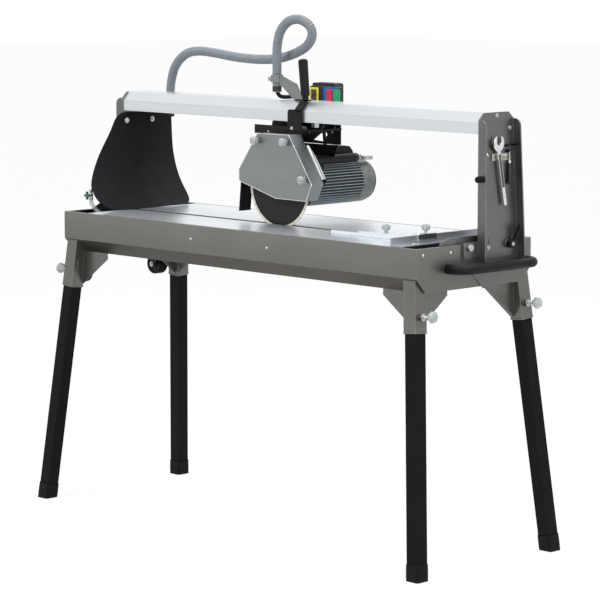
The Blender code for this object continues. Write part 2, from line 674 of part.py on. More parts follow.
def make_pivot_bolt(name, side, frame):
    """Bolt that the bridge tilts on, with its nut inside the tub."""
    outside, inside = WEB_X[1] + GAP, 0.7352 - GAP
    head = [(a + PIVOT.y, b + PIVOT.z) for a, b in arc((0, 0), 0.0105, 0, 300, 5)]
    nut = [(a + PIVOT.y, b + PIVOT.z) for a, b in arc((0, 0), 0.0105, 30, 330, 5)]
    ends = sorted((side * outside, side * (outside + 0.008)))
    bolt = piece(name, shape(add_prism, head, "x", *ends), "steel", frame)
    weld(bolt, shape(add_prism, nut, "x", *sorted((side * inside, side * (inside - 0.009)))))
    ends = sorted((side * (outside + 0.002), side * (inside - 0.002)))
    weld(bolt, shape(add_rod, "x", Vector((0, PIVOT.y, PIVOT.z)), 0.0060, *ends, 16))


def make_splash_flap(frame):
    """Rubber curtain bolted to the left post; it bells inwards down to the table."""
    rows = [(1.200, 0.000, 0.205), (1.183, -0.024, 0.207), (1.134, -0.056, 0.206), (1.063, -0.115, 0.199),
            (1.006, -0.158, 0.196), (0.974, -0.174, 0.197), (0.940, -0.170, 0.200), (0.920, -0.152, 0.196),
            (0.9075, -0.125, 0.180)]
    thick = 0.003
    columns = 6
    bm = bmesh.new()
    layers = []
    for layer in (0, thick):
        grid = []
        for height, low, high in rows:
            share = (rows[0][0] - height) / (rows[0][0] - rows[-1][0])
            x = -WEB_X[0] + GAP + 0.0005 + 0.106 * share ** 1.6 + layer
            grid.append([bm.verts.new((x, low + (high - low) * column / columns, height))
                         for column in range(columns + 1)])
        layers.append(grid)
    last_row, last_column = len(rows) - 1, columns
    for grid in layers:
        for row in range(last_row):
            for column in range(last_column):
                bm.faces.new((grid[row][column], grid[row][column + 1],
                              grid[row + 1][column + 1], grid[row + 1][column]))
    border = [(0, column) for column in range(columns)] + [(row, last_column) for row in range(last_row)]
    border += [(last_row, column) for column in range(last_column, 0, -1)]
    border += [(row, 0) for row in range(last_row, 0, -1)]
    for (row, column), (next_row, next_column) in zip(border, border[1:] + border[:1]):
        bm.faces.new((layers[0][row][column], layers[0][next_row][next_column],
                      layers[1][next_row][next_column], layers[1][row][column]))
    piece("splash_flap", bm, "rubber", frame, smooth=40)


def make_tools(frame):
    """Open-end spanner and pin wrench in a clip on the outside of the right post."""
    face = WEB_X[1] + GAP
    backing = shape(add_box, (face, 0.058, 1.130), (face + 0.003, 0.128, 1.150))
    clip = piece("hung_tools", backing, "steel", frame)
    weld(clip, shape(add_box, (face + 0.001, 0.070, 1.136), (face + 0.010, 0.082, 1.144)))
    weld(clip, shape(add_box, (face + 0.001, 0.1235, 1.136), (face + 0.008, 0.1280, 1.144)))
    plane = face + 0.0070
    spanner = [(0.076 + a, 1.170 + b) for a, b in
               [(-0.008, -0.022), (-0.022, -0.010), (-0.023, 0.012), (-0.014, 0.027), (-0.008, 0.026),
                (-0.010, 0.006), (0.000, -0.002), (0.010, 0.006), (0.009, 0.026), (0.015, 0.026),
                (0.023, 0.011), (0.021, -0.010), (0.008, -0.022)]]
    shank = [(0.110, 1.006), (0.099, 1.002)]
    weld(clip, shape(add_prism, spanner + shank, "x", plane, plane + 0.006))
    rod = [(0, 1.062), (0.0045, 1.062), (0.0055, 1.066), (0.0055, 1.128), (0.003, 1.130),
           (0.003, 1.155), (0, 1.155)]
    weld(clip, shape(add_lathe, rod, "z", Vector((face + 0.0060, 0.1265, 0)), 10))


def make_tilt_lever(name, side, frame):
    """Clamping lever on the lock bolt that runs in the quadrant's slot."""
    hub = Vector((0, PIVOT.y + LOCK_RADIUS, PIVOT.z))
    turn = add_empty(f"{name}_axis", Matrix.Translation(Vector((side * WEB_X[1], hub.y, hub.z))), frame)
    face = WEB_X[1] + GAP
    profile = [(0, TUB_X + 0.0006), (0.0050, TUB_X + 0.0006), (0.0050, face), (0.011, face),
               (0.012, face + 0.010), (0.009, face + 0.022), (0, face + 0.024)]
    bm = shape(add_lathe, [(r, side * a) for r, a in profile], "x", hub, 16)
    lever = piece(name, bm, "black_paint", turn, smooth=40)
    bar = [(0.000, -0.007), (0.018, 0.000), (0.025, 0.060), (0.023, 0.068), (0.016, 0.068), (0.009, 0.012),
           (-0.004, 0.008)]
    outline = [(hub.y + a, hub.z + b) for a, b in bar]
    ends = sorted((side * (face + 0.008), side * (face + 0.018)))
    weld(lever, shape(add_prism, outline, "x", *ends))


def make_bridge():
    frame = add_empty("bridge_axis", Matrix.Translation(PIVOT))
    make_beam(frame)
    for label, side in SIDES.items():
        make_post(f"post_{label}", side, frame)
        make_tilt_lever(f"tilt_lever_{label}", side, frame)
        make_pivot_bolt(f"pivot_bolt_{label}", side, frame)
    make_splash_flap(frame)
    make_tools(frame)
    return frame


# ---------------------------------------------------------------- carriage

def make_carriage_frame(frame):
    """Black steel carriage: deck under the beam, hangers up to the axles, arms in front and behind."""
    low, high = DECK_Z
    deck = shape(add_box, (-0.150, 0.000, low), (0.155, 0.153, high))
    body = piece("carriage_frame", deck, "black_paint", frame)
    for near in (0.048, 0.099):
        plates = bmesh.new()
        for middle in AXLE_X:
            outline = [(middle - 0.030, low + 0.002), (middle + 0.030, low + 0.002),
                       (middle + 0.014, AXLE_Z + 0.010), (middle - 0.014, AXLE_Z + 0.010)]
            add_prism(plates, outline, "y", near, near + 0.005)
        weld(body, plates)
    front = [(0.0065, low + 0.001), (0.0065, 1.241), (0.0300, 1.2670), (0.0440, 1.2670),
             (0.0440, 1.2720), (0.0280, 1.2720), (0.0010, 1.2435), (0.0010, low + 0.004)]
    weld(body, shape(add_prism, front, "x", 0.000, 0.058))
    weld(body, shape(add_box, (-0.141, 0.0005, 1.166), (0.000, 0.0045, low + 0.003)))
    weld(body, shape(add_box, (-0.070, 0.1475, low + 0.001), (0.060, 0.1520, 1.253)))
    cheeks = bmesh.new()
    for near in (0.0400, 0.1040):
        outline = [(-0.149, low + 0.003), (-0.151, 1.128), (-0.142, 1.112), (-0.118, 1.112), (-0.108, 1.128),
                   (-0.098, low + 0.003)]
        add_prism(cheeks, outline, "y", near, near + 0.006)
    weld(body, cheeks)
    web = [(-0.100, low + 0.003), (-0.100, 1.156), (-0.080, 1.136), (0.098, 1.136), (0.098, low + 0.003)]
    weld(body, shape(add_prism, web, "y", 0.1280, 0.1330))
    window = [(-0.020, 1.146), (0.022, 1.143), (0.040, 1.165), (0.034, 1.171), (0.010, 1.166)]
    cut(body, shape(add_prism, window, "y", 0.120, 0.140))
    for middle in AXLE_X:
        cut(body, shape(add_rod, "y", Vector((middle, 0, AXLE_Z)), 0.0053, 0.03, 0.12, 12))
    stub = Vector((*GUIDE_AT, 0))
    weld(body, shape(add_rod, "z", stub, 0.0048, high - 0.002, 1.2120, 12))
    profile = [(0, -0.043), (0.0125, -0.043), (0.0125, -0.0353), (0.0080, -0.0353), (0.0080, 0.0353),
               (0.0125, 0.0353), (0.0125, 0.042), (0, 0.042)]
    weld(body, shape(add_lathe, profile, "y", HEAD_PIVOT, 16))


def make_wheelsets(frame):
    """Two axles whose wheels run on the beam's inner lips, and the side guide roller."""
    middle_y = sum(BEAM_Y) / 2
    for label, middle in zip(("left", "right"), AXLE_X):
        turn = add_empty(f"wheelset_{label}_axis", Matrix.Translation((middle, middle_y, AXLE_Z)), frame)
        near, far = 0.0365, 0.0500
        profile = [(0, -far), (WHEEL_R - 0.002, -far), (WHEEL_R, -far + 0.002), (WHEEL_R, -near - 0.001),
                   (WHEEL_R - 0.002, -near), (0.0050, -near), (0.0050, near), (WHEEL_R - 0.002, near),
                   (WHEEL_R, near + 0.001), (WHEEL_R, far - 0.002), (WHEEL_R - 0.002, far), (0, far)]
        bm = shape(add_lathe, profile, "y", Vector((middle, middle_y, AXLE_Z)), 24)
        piece(f"wheelset_{label}", bm, "steel", turn, smooth=40)
    turn = add_empty("guide_roller_axis", Matrix.Translation((*GUIDE_AT, 1.200)), frame)
    profile = [(0.0053, 1.1885), (GUIDE_R - 0.002, 1.1885), (GUIDE_R, 1.1905), (GUIDE_R, 1.2115),
               (GUIDE_R - 0.002, 1.2135), (0.0053, 1.2135)]
    bm = shape(add_lathe, profile, "z", Vector((*GUIDE_AT, 0)), 24)
    piece("guide_roller", bm, "steel", turn, smooth=40)


def make_push_grip(frame):
    """Padded grip on a short neck above the beam."""
    foot, top = Vector((0.052, 0.026, 1.2723)), Vector((0.040, 0.026, 1.392))
    direction = (top - foot).normalized()
    route = [foot, foot + direction * 0.012, foot + direction * 0.0125, foot + direction * 0.016,
             foot + direction * 0.060, foot + direction * 0.112, top]
    radii = [0.010, 0.010, 0.0130, 0.0135, 0.0140, 0.0148, 0.0135]
    bm = tube_mesh("push_grip", route, radii, 4)
    grip = piece("push_grip", bm, "rubber", frame, smooth=40)
    cut(grip, shape(add_box, (0, -0.05, 1.20), (0.12, 0.08, 1.2723)))


def make_hose_bracket(frame):
    """Galvanised plate from the grip's foot up to the ring that clamps the hose."""
    plane = (0.0285, 0.0315)
    x, y, z = CLAMP_AT
    outline = [(-0.004, 1.2725), (0.034, 1.2725), (0.030, 1.287), (0.012, 1.317), (x + 0.014, z + 0.014),
               (x + 0.012, z - 0.010)]
    bracket = piece("hose_bracket", shape(add_prism, outline, "y", *plane), "steel", frame)
    foot = shape(add_box, (-0.004, 0.0287, 1.2725), (0.034, 0.0440, 1.2755))
    weld(bracket, foot)
    ring = [(0.0157, -0.011), (0.0185, -0.011), (0.0185, 0.011), (0.0157, 0.011)]
    weld(bracket, shape(add_lathe, ring, "z", CLAMP_AT, 24))
    lug = shape(add_box, (x - 0.034, y - 0.004, z - 0.008), (x - 0.0170, y + 0.004, z + 0.004))
    weld(bracket, lug)
    cut(bracket, shape(add_rod, "z", CLAMP_AT, 0.0156, -0.02, 0.02, 24))


def hose_route():
    """Centre line of the hose from the beam's clip to the carriage's clamp."""
    return [Vector(point) for point in (
        (-0.705, 0.166, 1.205), (-0.705, 0.166, 1.245), (-0.700, 0.166, 1.295), (-0.672, 0.160, 1.345),
        (-0.615, 0.150, 1.382), (-0.545, 0.140, 1.395), (-0.455, 0.130, 1.392), (-0.365, 0.122, 1.384),
        (-0.275, 0.114, 1.380), (-0.195, 0.106, 1.381), (-0.120, 0.096, 1.389), (-0.050, 0.084, 1.405),
        (0.008, 0.074, 1.428), (0.040, 0.064, 1.458), (0.040, 0.055, 1.487), (0.008, 0.047, 1.506),
        (-0.034, 0.041, 1.501), (-0.066, 0.037, 1.470), (-0.079, 0.036, 1.425), (-0.080, 0.036, 1.375),
        (-0.080, 0.036, 1.330), (-0.080, 0.036, 1.290))]


def make_hose(frame):
    """Ribbed conduit with its bore; each rib is a thick and a thin ring."""
    smooth_route = catmull(hose_route(), 12)
    points = even_points(smooth_route, 2 * HOSE_RIBS)
    plain = 5
    radii = []
    for index in range(len(points)):
        at_end = index < plain or index > len(points) - 1 - plain
        radii.append(HOSE_R - 0.0012 if at_end or index % 2 else HOSE_R)
    bm = tube_mesh("hose", points, radii)
    hose = piece("hose", bm, "hose_grey", frame, smooth=60)
    core = even_points(smooth_route, 50)
    core[0] = core[0] + (core[0] - core[1]).normalized() * 0.010
    core[-1] = core[-1] + (core[-1] - core[-2]).normalized() * 0.010
    cut(hose, tube_mesh("hose_bore", core, [HOSE_BORE] * len(core)))


def make_switch(frame):
    """Junction box with the start and stop switch in front of it, above the beam's rear edge."""
    box = shape(add_prism, rounded_rect(0.048, 0.036, 0.006, 2, (-0.020, 1.278)), "y", 0.1723, 0.2080)
    piece("junction_box", box, "black_paint", frame, smooth=40)
    case = shape(add_prism, rounded_rect(0.064, 0.033, 0.008, 2, (0.004, 1.274)), "y", 0.1523, 0.1720)
    housing = piece("switch_housing", case, "blue_plastic", frame, smooth=40)
    for name, finish, middle, half in (("stop_button", "red_plastic", 0.026, 0.0115),
                                       ("start_button", "green_plastic", 0.053, 0.0100)):
        pocket = rect(middle - half - 0.0005, middle + half + 0.0005, 1.2555, 1.2985)
        cut(housing, shape(add_prism, pocket, "y", 0.150, 0.1650))
        turn = add_empty(f"{name}_axis", Matrix.Translation((middle, 0.1525, 1.277)), frame)
        cap = rounded_rect(half, 0.0210, 0.003, 2, (middle, 1.277))
        piece(name, shape(add_prism, cap, "y", 0.1480, 0.1598), finish, turn, smooth=40)


# ---------------------------------------------------------------- cutting head

def make_head_bracket(frame):
    """Black casting: hinge lug, arm and saddle that hold the motor under the carriage."""
    lug = [(-0.142, 1.122), (-0.130, 1.117), (-0.060, 1.060), (-0.030, 1.060), (0.052, 1.060),
           (0.058, 1.094), (0.040, 1.104), (-0.050, 1.106), (-0.108, 1.150), (-0.122, 1.1445),
           (-0.138, 1.142), (-0.143, 1.133)]
    body = piece("head_bracket", shape(add_prism, lug, "y", 0.0500, 0.1000), "black_paint", frame)
    flange = rounded_rect(0.062, 0.062, 0.030, 4, (0.0, BLADE_Z))
    weld(body, shape(add_prism, flange, "y", -0.0037, 0.0440))
    neck = rect(-0.052, 0.050, 1.050, 1.098)
    weld(body, shape(add_prism, neck, "y", 0.0300, 0.0600))
    barrel = Vector((0.050, 0, 1.092))
    weld(body, shape(add_rod, "y", barrel, 0.013, 0.060, 0.230, 14))
    cut(body, shape(add_rod, "y", Vector((0, 0, BLADE_Z)), MOTOR_R + GAP, 0.0443, 0.300, 48))
    cut(body, shape(add_rod, "y", Vector((0, 0, BLADE_Z)), 0.0130, -0.020, 0.060, 20))
    cut(body, shape(add_rod, "y", Vector((HEAD_PIVOT.x, 0, HEAD_PIVOT.z)), 0.0083, 0.03, 0.12, 16))


def turned(outline, angle):
    """An outline beside the blade's axis, turned about that axis."""
    return [(a * cos(angle) - b * sin(angle), BLADE_Z + a * sin(angle) + b * cos(angle)) for a, b in outline]


def finned_outline(fins=24, tip=MOTOR_R, root=0.0575):
    """Outline of the motor's finned body."""
    points = []
    for fin in range(fins):
        for share, radius in ((-0.30, root), (-0.16, tip), (0.16, tip), (0.30, root)):
            turn = 2 * pi * (fin + share) / fins
            points.append((radius * cos(turn), BLADE_Z + radius * sin(turn)))
    return points


def make_motor(frame):
    centre = Vector((0, 0, BLADE_Z))
    body = piece("motor_body", shape(add_prism, finned_outline(), "y", 0.0446, 0.2680), "grey_cast", frame)
    cowl = [(0.0095, 0.2640), (0.0560, 0.2640), (0.0600, 0.2700), (0.0600, 0.3127), (0.0565, 0.3127),
            (0.0565, 0.2760), (0.0095, 0.2760)]
    weld(body, shape(add_lathe, cowl, "y", centre, 40))
    cut(body, shape(add_lathe, [(0, 0.070), (0.0315, 0.070), (0.0315, 0.250), (0, 0.250)], "y", centre, 32))
    cut(body, shape(add_rod, "y", centre, 0.0090, 0.02, 0.30, 16))
    lug = shape(add_box, (0.020, 0.272, 1.066), (0.058, 0.300, 1.084))
    weld(body, lug)
    rim = [(0.0340, 0.3133), (0.0595, 0.3133), (0.0595, 0.3175), (0.0550, 0.3225), (0.0340, 0.3225)]
    cover = piece("fan_cover", shape(add_lathe, rim, "y", centre, 40), "black_paint", frame, smooth=40)
    weld(cover, shape(add_rod, "y", centre, 0.0130, 0.3165, 0.3220, 20))
    spokes = bmesh.new()
    for index in range(6):
        spoke = turned(rect(0.010, 0.036, -0.0035, 0.0035), pi * index / 3)
        add_prism(spokes, spoke, "y", 0.3170, 0.3215)
    weld(cover, spokes)


def make_guard(frame):
    """Sheet cover over the blade, on a polished back plate with three posts."""
    bm = shape(add_prism, GUARD, "y", *GUARD_Y)
    cover = piece("guard_cover", bm, "stainless", frame)
    hollow = inset(GUARD, 0.0018)
    cut(cover, shape(add_prism, hollow, "y", GUARD_Y[0] + 0.0018, GUARD_Y[1] + 0.01))
    mouth = [(0.1355, 0.981), (0.1370, 0.9870), (0.0070, 0.9880), (-0.1400, 1.0285),
             (-0.1465, 1.0240), (0.0, 0.975)]
    cut(cover, shape(add_prism, mouth, "y", GUARD_Y[0] + 0.0018, GUARD_Y[1] + 0.01))
    for spot in GUARD_KNOBS:
        cut(cover, shape(add_rod, "y", Vector((spot[0], 0, spot[1])), 0.0035, -0.06, -0.05, 10))
    back_y = (-0.0060, -0.0040)
    backing = inset(GUARD, 0.0023)
    plate = piece("guard_housing", shape(add_prism, backing, "y", *back_y), "steel", frame)
    strip = [(0.0790, 1.1390), (0.0815, 1.1400), (0.1560, 1.0310), (0.1530, 1.0270)]
    weld(plate, shape(add_prism, strip, "y", -0.0050, 0.0300))
    cut(plate, shape(add_rod, "y", Vector((0, 0, BLADE_Z)), 0.0400, -0.02, 0.01, 32))
    for across, height in GUARD_KNOBS:
        post = Vector((across, 0, height))
        weld(plate, shape(add_rod, "y", post, 0.0048, GUARD_Y[0] + 0.0028, -0.0050, 10))
    profile = [(0, 0.0023), (0.0030, 0.0023), (0.0030, -0.0003), (0.0055, -0.0003), (0.0055, -0.006),
               (0.0100, -0.008), (0.0125, -0.013), (0.0120, -0.019), (0.0080, -0.023), (0, -0.024)]
    for name, spot in zip(("left", "middle", "right"), GUARD_KNOBS):
        turned_shape = shape(add_lathe, profile, "y", Vector((spot[0], GUARD_Y[0], spot[1])), 16)
        piece(f"guard_knob_{name}", turned_shape, "clear_plastic", frame, smooth=40)
    flap = [(-0.1425, 1.0240), (-0.1395, 1.0240), (-0.1480, 0.9350), (-0.1520, 0.9350)]
    piece("rear_flap", shape(add_prism, flap, "y", -0.0540, -0.0080), "rubber", frame)


def make_blade():
    centre = Vector((0, BLADE_Y, BLADE_Z))
    turn = add_empty("blade_axis", Matrix.Translation(centre), "head_axis")
    core, rim = 0.0010, 0.0012
    profile = [(0.0128, -core), (0.1170, -core), (0.1180, -rim), (BLADE_R, -rim),
               (BLADE_R, rim), (0.1180, rim), (0.1170, core), (0.0128, core)]
    piece("blade", shape(add_lathe, profile, "y", centre, 48), "steel", turn, smooth=20)
    shaft = Vector((0, 0, BLADE_Z))
    profile = [(0, -0.0500), (0.0085, -0.0500), (0.0085, -0.0311), (0.0125, -0.0311), (0.0125, -0.0287),
               (0.0330, -0.0287), (0.0350, -0.0270), (0.0350, -0.0230), (0.0200, -0.0180), (0.0125, -0.0180),
               (0.0125, 0.0400), (0.0085, 0.0405), (0.0085, 0.0750), (0.0305, 0.0750), (0.0305, 0.2450),
               (0.0085, 0.2450), (0.0085, 0.2820), (0.0150, 0.2820), (0.0150, 0.3100), (0, 0.3100)]
    rotor = piece("rotor_shaft", shape(add_lathe, profile, "y", shaft, 24), "steel", turn, smooth=40)
    ring = [(0.0090, -0.0313), (0.0350, -0.0313), (0.0350, -0.0345), (0.0300, -0.0380), (0.0090, -0.0380)]
    clamp = piece("blade_clamp", shape(add_lathe, ring, "y", shaft, 24), "steel", turn, smooth=40)
    nut, bore = arc((0, 0), 0.0160, 0, 300, 5), arc((0, 0), 0.0105, 0, 300, 5)
    rings = [[(a, b + BLADE_Z) for a, b in points] for points in (nut, bore)]
    weld(clamp, shape(add_frame, *rings, "y", -0.0480, -0.0375))
    fan = bmesh.new()
    for index in range(6):
        fin = turned(rect(0.012, 0.050, -0.0015, 0.0015), pi * index / 3)
        add_prism(fan, fin, "y", 0.2860, 0.3060)
    weld(rotor, fan)


def make_carriage():
    frame = add_empty("carriage_axis", Matrix.Translation((0, sum(BEAM_Y) / 2, AXLE_Z)), "bridge_axis")
    make_carriage_frame(frame)
    make_wheelsets(frame)
    make_push_grip(frame)
    make_hose_bracket(frame)
    make_hose(frame)
    make_switch(frame)
    head = add_empty("head_axis", Matrix.Translation(HEAD_PIVOT), frame)
    make_head_bracket(head)
    make_motor(head)
    make_guard(head)
    make_blade()


def main():
    clear_scene()
    make_tub()
    make_boards()
    make_end_stop()
    make_fence()
    make_legs()
    for label, side in SIDES.items():
        make_tilt_plate(f"tilt_plate_{label}", side)
    make_handle()
    make_transport_wheels()
    make_water_supply()
    make_bridge()
    make_carriage()


main()
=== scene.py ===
"""Looks of the bridge-type masonry saw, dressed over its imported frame."""
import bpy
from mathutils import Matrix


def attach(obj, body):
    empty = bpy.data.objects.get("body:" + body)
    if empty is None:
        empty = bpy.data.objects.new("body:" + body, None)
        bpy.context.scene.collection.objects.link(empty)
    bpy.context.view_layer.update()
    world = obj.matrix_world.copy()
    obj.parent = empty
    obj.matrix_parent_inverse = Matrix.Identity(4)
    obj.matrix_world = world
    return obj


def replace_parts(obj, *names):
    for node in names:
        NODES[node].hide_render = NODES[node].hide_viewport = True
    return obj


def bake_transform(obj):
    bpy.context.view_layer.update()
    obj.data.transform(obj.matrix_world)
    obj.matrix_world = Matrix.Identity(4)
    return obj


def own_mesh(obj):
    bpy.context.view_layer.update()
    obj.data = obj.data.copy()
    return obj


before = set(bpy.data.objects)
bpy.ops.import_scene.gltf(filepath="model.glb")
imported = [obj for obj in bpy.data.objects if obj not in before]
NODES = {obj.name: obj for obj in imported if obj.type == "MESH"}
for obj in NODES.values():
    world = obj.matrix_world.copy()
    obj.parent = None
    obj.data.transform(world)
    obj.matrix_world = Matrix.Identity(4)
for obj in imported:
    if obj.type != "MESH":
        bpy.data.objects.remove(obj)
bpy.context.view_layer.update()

from math import cos, pi, radians, sin

import bmesh
import bpy
from mathutils import Matrix, Vector
from mathutils.geometry import tessellate_polygon

AXIS_Z = 1.017  # height of the motor and blade
MOTOR_AXIS = Vector((0, 0, AXIS_Z))
TILT_PIVOT = (-0.03, 0.895)  # y and z of the bolts that the bridge tilts on
LOCK_HUB = Vector((0, 0.132, 0.895))
POST_FACE = 0.7571
PROUD_FACE = 0.7573  # just clear of the posts' outer faces
TUB_FLOOR = 0.7845
PUMP = (-0.69, -0.11)
GUARD = [(-0.068, 1.172), (0.0645, 1.173), (0.16, 1.033), (0.1365, 0.983), (0.0075, 0.984), (-0.1476, 1.0266),
         (-0.1487, 1.061)]
GUARD_KNOBS = {"left": (-0.069, 1.151), "middle": (0.052, 1.152), "right": (0.13, 1.046)}
CORNERS = {"fl": (-1, -1), "rl": (-1, 1), "fr": (1, -1), "rr": (1, 1)}
SIDES = {"left": -1, "right": 1}


# ---------------------------------------------------------------- camera

camera_data = bpy.data.cameras.new("camera")
camera = bpy.data.objects.new("camera", camera_data)
bpy.context.scene.collection.objects.link(camera)
camera.location = (5.8328, -5.6327, 1.7419)
camera.rotation_euler = (radians(90 - 7.619), 0, radians(45.729))
camera_data.lens = 161.4
camera_data.sensor_width = 36
camera_data.clip_end = 60
bpy.context.scene.camera = camera


# ---------------------------------------------------------------- materials

def scaled(colour, factor, lift=0.0):
    return tuple(min(value * factor + lift, 1) for value in colour)


class Shader:
    """A Principled material whose colour, roughness and bump come from procedural nodes."""

    def __init__(self, name, colour, roughness, metallic=0.0, edge=0.0008, shine=0.5):
        self.material = bpy.data.materials.new(name)
        self.material.use_nodes = True
        self.tree = self.material.node_tree
        self.shader = self.tree.nodes["Principled BSDF"]
        self.put("Metallic", metallic)
        self.put("Roughness", roughness)
        self.put("Specular IOR Level", shine)
        self.put("Base Color", (*colour, 1))
        self.colour = colour
        self.place = self.add("TexCoord").outputs["Object"]
        self.colour_out = None
        self.normal_out = self.rounded(edge) if edge else None

    def put(self, name, value):
        self.shader.inputs[name].default_value = value

    def link(self, source, target):
        self.tree.links.new(source, target)

    def add(self, kind, *sources, operation=None):
        """A node whose first inputs are linked to the sources."""
        node = self.tree.nodes.new("ShaderNode" + kind)
        if operation:
            node.operation = operation
        for source, target in zip(sources, node.inputs):
            self.link(source, target)
        return node

    def rounded(self, radius):
        """The normal of the surface with its edges rounded."""
        bevel = self.add("Bevel")
        bevel.samples = 4
        bevel.inputs["Radius"].default_value = radius
        return bevel.outputs["Normal"]

    def noise(self, scale, detail=3.0, stretch=(1, 1, 1), distort=0.0):
        mapping = self.add("Mapping", self.place)
        mapping.inputs["Scale"].default_value = stretch
        texture = self.add("TexNoise", mapping.outputs["Vector"])
        for name, value in (("Scale", scale), ("Detail", detail), ("Distortion", distort)):
            texture.inputs[name].default_value = value
        return texture.outputs["Fac"]

    def band(self, source, low, high, to_low=0.0, to_high=1.0):
        """The source, with low to high stretched over to_low to to_high."""
        ramp = self.add("MapRange", source)
        for name, value in zip(("From Min", "From Max", "To Min", "To Max"), (low, high, to_low, to_high)):
            ramp.inputs[name].default_value = value
        return ramp.outputs["Result"]

    def times(self, first, second):
        if isinstance(second, float):
            node = self.add("Math", first, operation="MULTIPLY")
            node.inputs[1].default_value = second
        else:
            node = self.add("Math", first, second, operation="MULTIPLY")
        return node.outputs[0]

    def tint(self, mask, colour):
        """Mix a colour over what is there, where the mask says."""
        mix = self.add("Mix")
        mix.data_type = "RGBA"
        self.link(mask, mix.inputs[0])
        if self.colour_out:
            self.link(self.colour_out, mix.inputs[6])
        else:
            mix.inputs[6].default_value = (*self.colour, 1)
        mix.inputs[7].default_value = (*colour, 1)
        self.colour_out = mix.outputs[2]
        self.link(self.colour_out, self.shader.inputs["Base Color"])

    def stain(self, source, low, high, share, colour):
        self.tint(self.times(self.band(source, low, high), share), colour)

    def done(self, cloud, roughness, relief, strength, distance):
        """Roughness that varies with one source, and bump from another."""
        self.link(self.band(cloud, 0.3, 0.7, *roughness), self.shader.inputs["Roughness"])
        bump = self.add("Bump")
        bump.inputs["Strength"].default_value = strength
        bump.inputs["Distance"].default_value = distance
        self.link(relief, bump.inputs["Height"])
        if self.normal_out:
            self.link(self.normal_out, bump.inputs["Normal"])
        self.link(bump.outputs["Normal"], self.shader.inputs["Normal"])
        return self.material

    def edges(self):
        """A mask that is 1 along sharp edges."""
        flat = self.add("NewGeometry").outputs["Normal"]
        dot = self.add("VectorMath", self.rounded(0.0016), flat, operation="DOT_PRODUCT")
        return self.band(dot.outputs["Value"], 0.985, 0.9)

    def component(self, source, axis):
        return self.add("SeparateXYZ", source).outputs["XYZ".index(axis)]

    def facing_down(self):
        """A mask that is 1 on faces that look at the floor."""
        normal = self.add("NewGeometry").outputs["Normal"]
        return self.band(self.component(normal, "Z"), -0.15, -0.5)

    def from_motor_axis(self):
        """The offset from the motor's axis, and its length."""
        offset = self.add("VectorMath", self.place, operation="MULTIPLY_ADD")
        offset.inputs[1].default_value = (1, 0, 1)
        offset.inputs[2].default_value = -MOTOR_AXIS
        length = self.add("VectorMath", offset.outputs[0], operation="LENGTH")
        return offset.outputs[0], length.outputs["Value"]

    def within(self, half_x, half_y):
        """A mask that is 1 inside an upright box about the origin."""
        masks = []
        for axis, half in (("X", half_x), ("Y", half_y)):
            size = self.add("Math", self.component(self.place, axis), operation="ABSOLUTE")
            masks.append(self.band(size.outputs[0], half, half - 0.0004))
        return self.times(*masks)


def sheet_steel(name, colour, along, roughness=(0.3, 0.44), tub=False):
    """Rolled and brushed sheet, with its grain along one axis, smudges and dried water marks; on the tub also
    painted shade towards the bottom, on faces that look down and inside its walls.
    """
    look = Shader(name, colour, roughness[0], 0.9)
    stretch = [160, 160, 160]
    stretch["xyz".index(along)] = 2
    grain = look.noise(3.0, 2, stretch)
    cloud = look.noise(3.5, 4, (1, 1, 1.6), 0.4)
    spots = look.noise(55, 3)
    dark = scaled(colour, 0.8)
    look.stain(grain, 0.35, 0.7, 0.3, dark)
    look.stain(cloud, 0.45, 0.75, 0.5, scaled(colour, 1.18))
    look.stain(spots, 0.66, 0.74, 0.25, dark)
    look.tint(look.times(look.edges(), look.band(spots, 0.35, 0.65, 0.15, 0.5)), (0.7, 0.7, 0.69))
    if tub:
        height = look.component(look.place, "Z")
        # painted shade: the tub darker towards its bottom
        look.stain(height, 0.9, 0.822, 0.35, scaled(colour, 0.55))
        # painted shade: a brownish darkening on faces that look down at the floor
        look.tint(look.times(look.facing_down(), 0.85), (0.048, 0.04, 0.026))
        # painted shade: near black inside the tub's walls, below the rim
        inside = look.times(look.band(height, 0.9045, 0.9, 0.0, 0.9), look.band(height, 0.82, 0.824))
        look.tint(look.times(look.within(0.7478, 0.2338), inside), (0.03, 0.03, 0.03))
    return look.done(cloud, roughness, grain, 0.06, 0.0004)


def extruded(name, colour):
    """Extruded aluminium: draw lines along the length, faint dust and rub marks."""
    look = Shader(name, colour, 0.26, 0.85)
    lines = look.noise(3.0, 3, (0.7, 190, 190))
    cloud = look.noise(2.2, 4, (0.4, 2, 2), 0.5)
    rubs = look.noise(26, 4, (1, 8, 8), 0.3)
    look.stain(lines, 0.38, 0.66, 0.12, scaled(colour, 0.9))
    look.stain(cloud, 0.5, 0.72, 0.18, scaled(colour, 0.92))
    look.stain(rubs, 0.64, 0.74, 0.08, (0.95, 0.95, 0.96))
    return look.done(cloud, (0.26, 0.36), lines, 0.03, 0.0003)


def painted(name, colour, roughness, chip, amount, shine):
    """Powder coat with its fine orange peel; worn paler on edges."""
    look = Shader(name, colour, roughness[0], shine=shine)
    peel = look.noise(380, 2)
    cloud = look.noise(9, 4, (1, 1, 1), 0.4)
    dust = look.noise(70, 4)
    look.stain(cloud, 0.42, 0.75, 0.45, scaled(colour, 1.6, 0.004))
    look.tint(look.times(look.edges(), look.band(dust, 0.56 - 0.1 * amount, 0.66, 0.0, amount)), chip)
    return look.done(cloud, roughness, peel, 0.16, 0.0004)


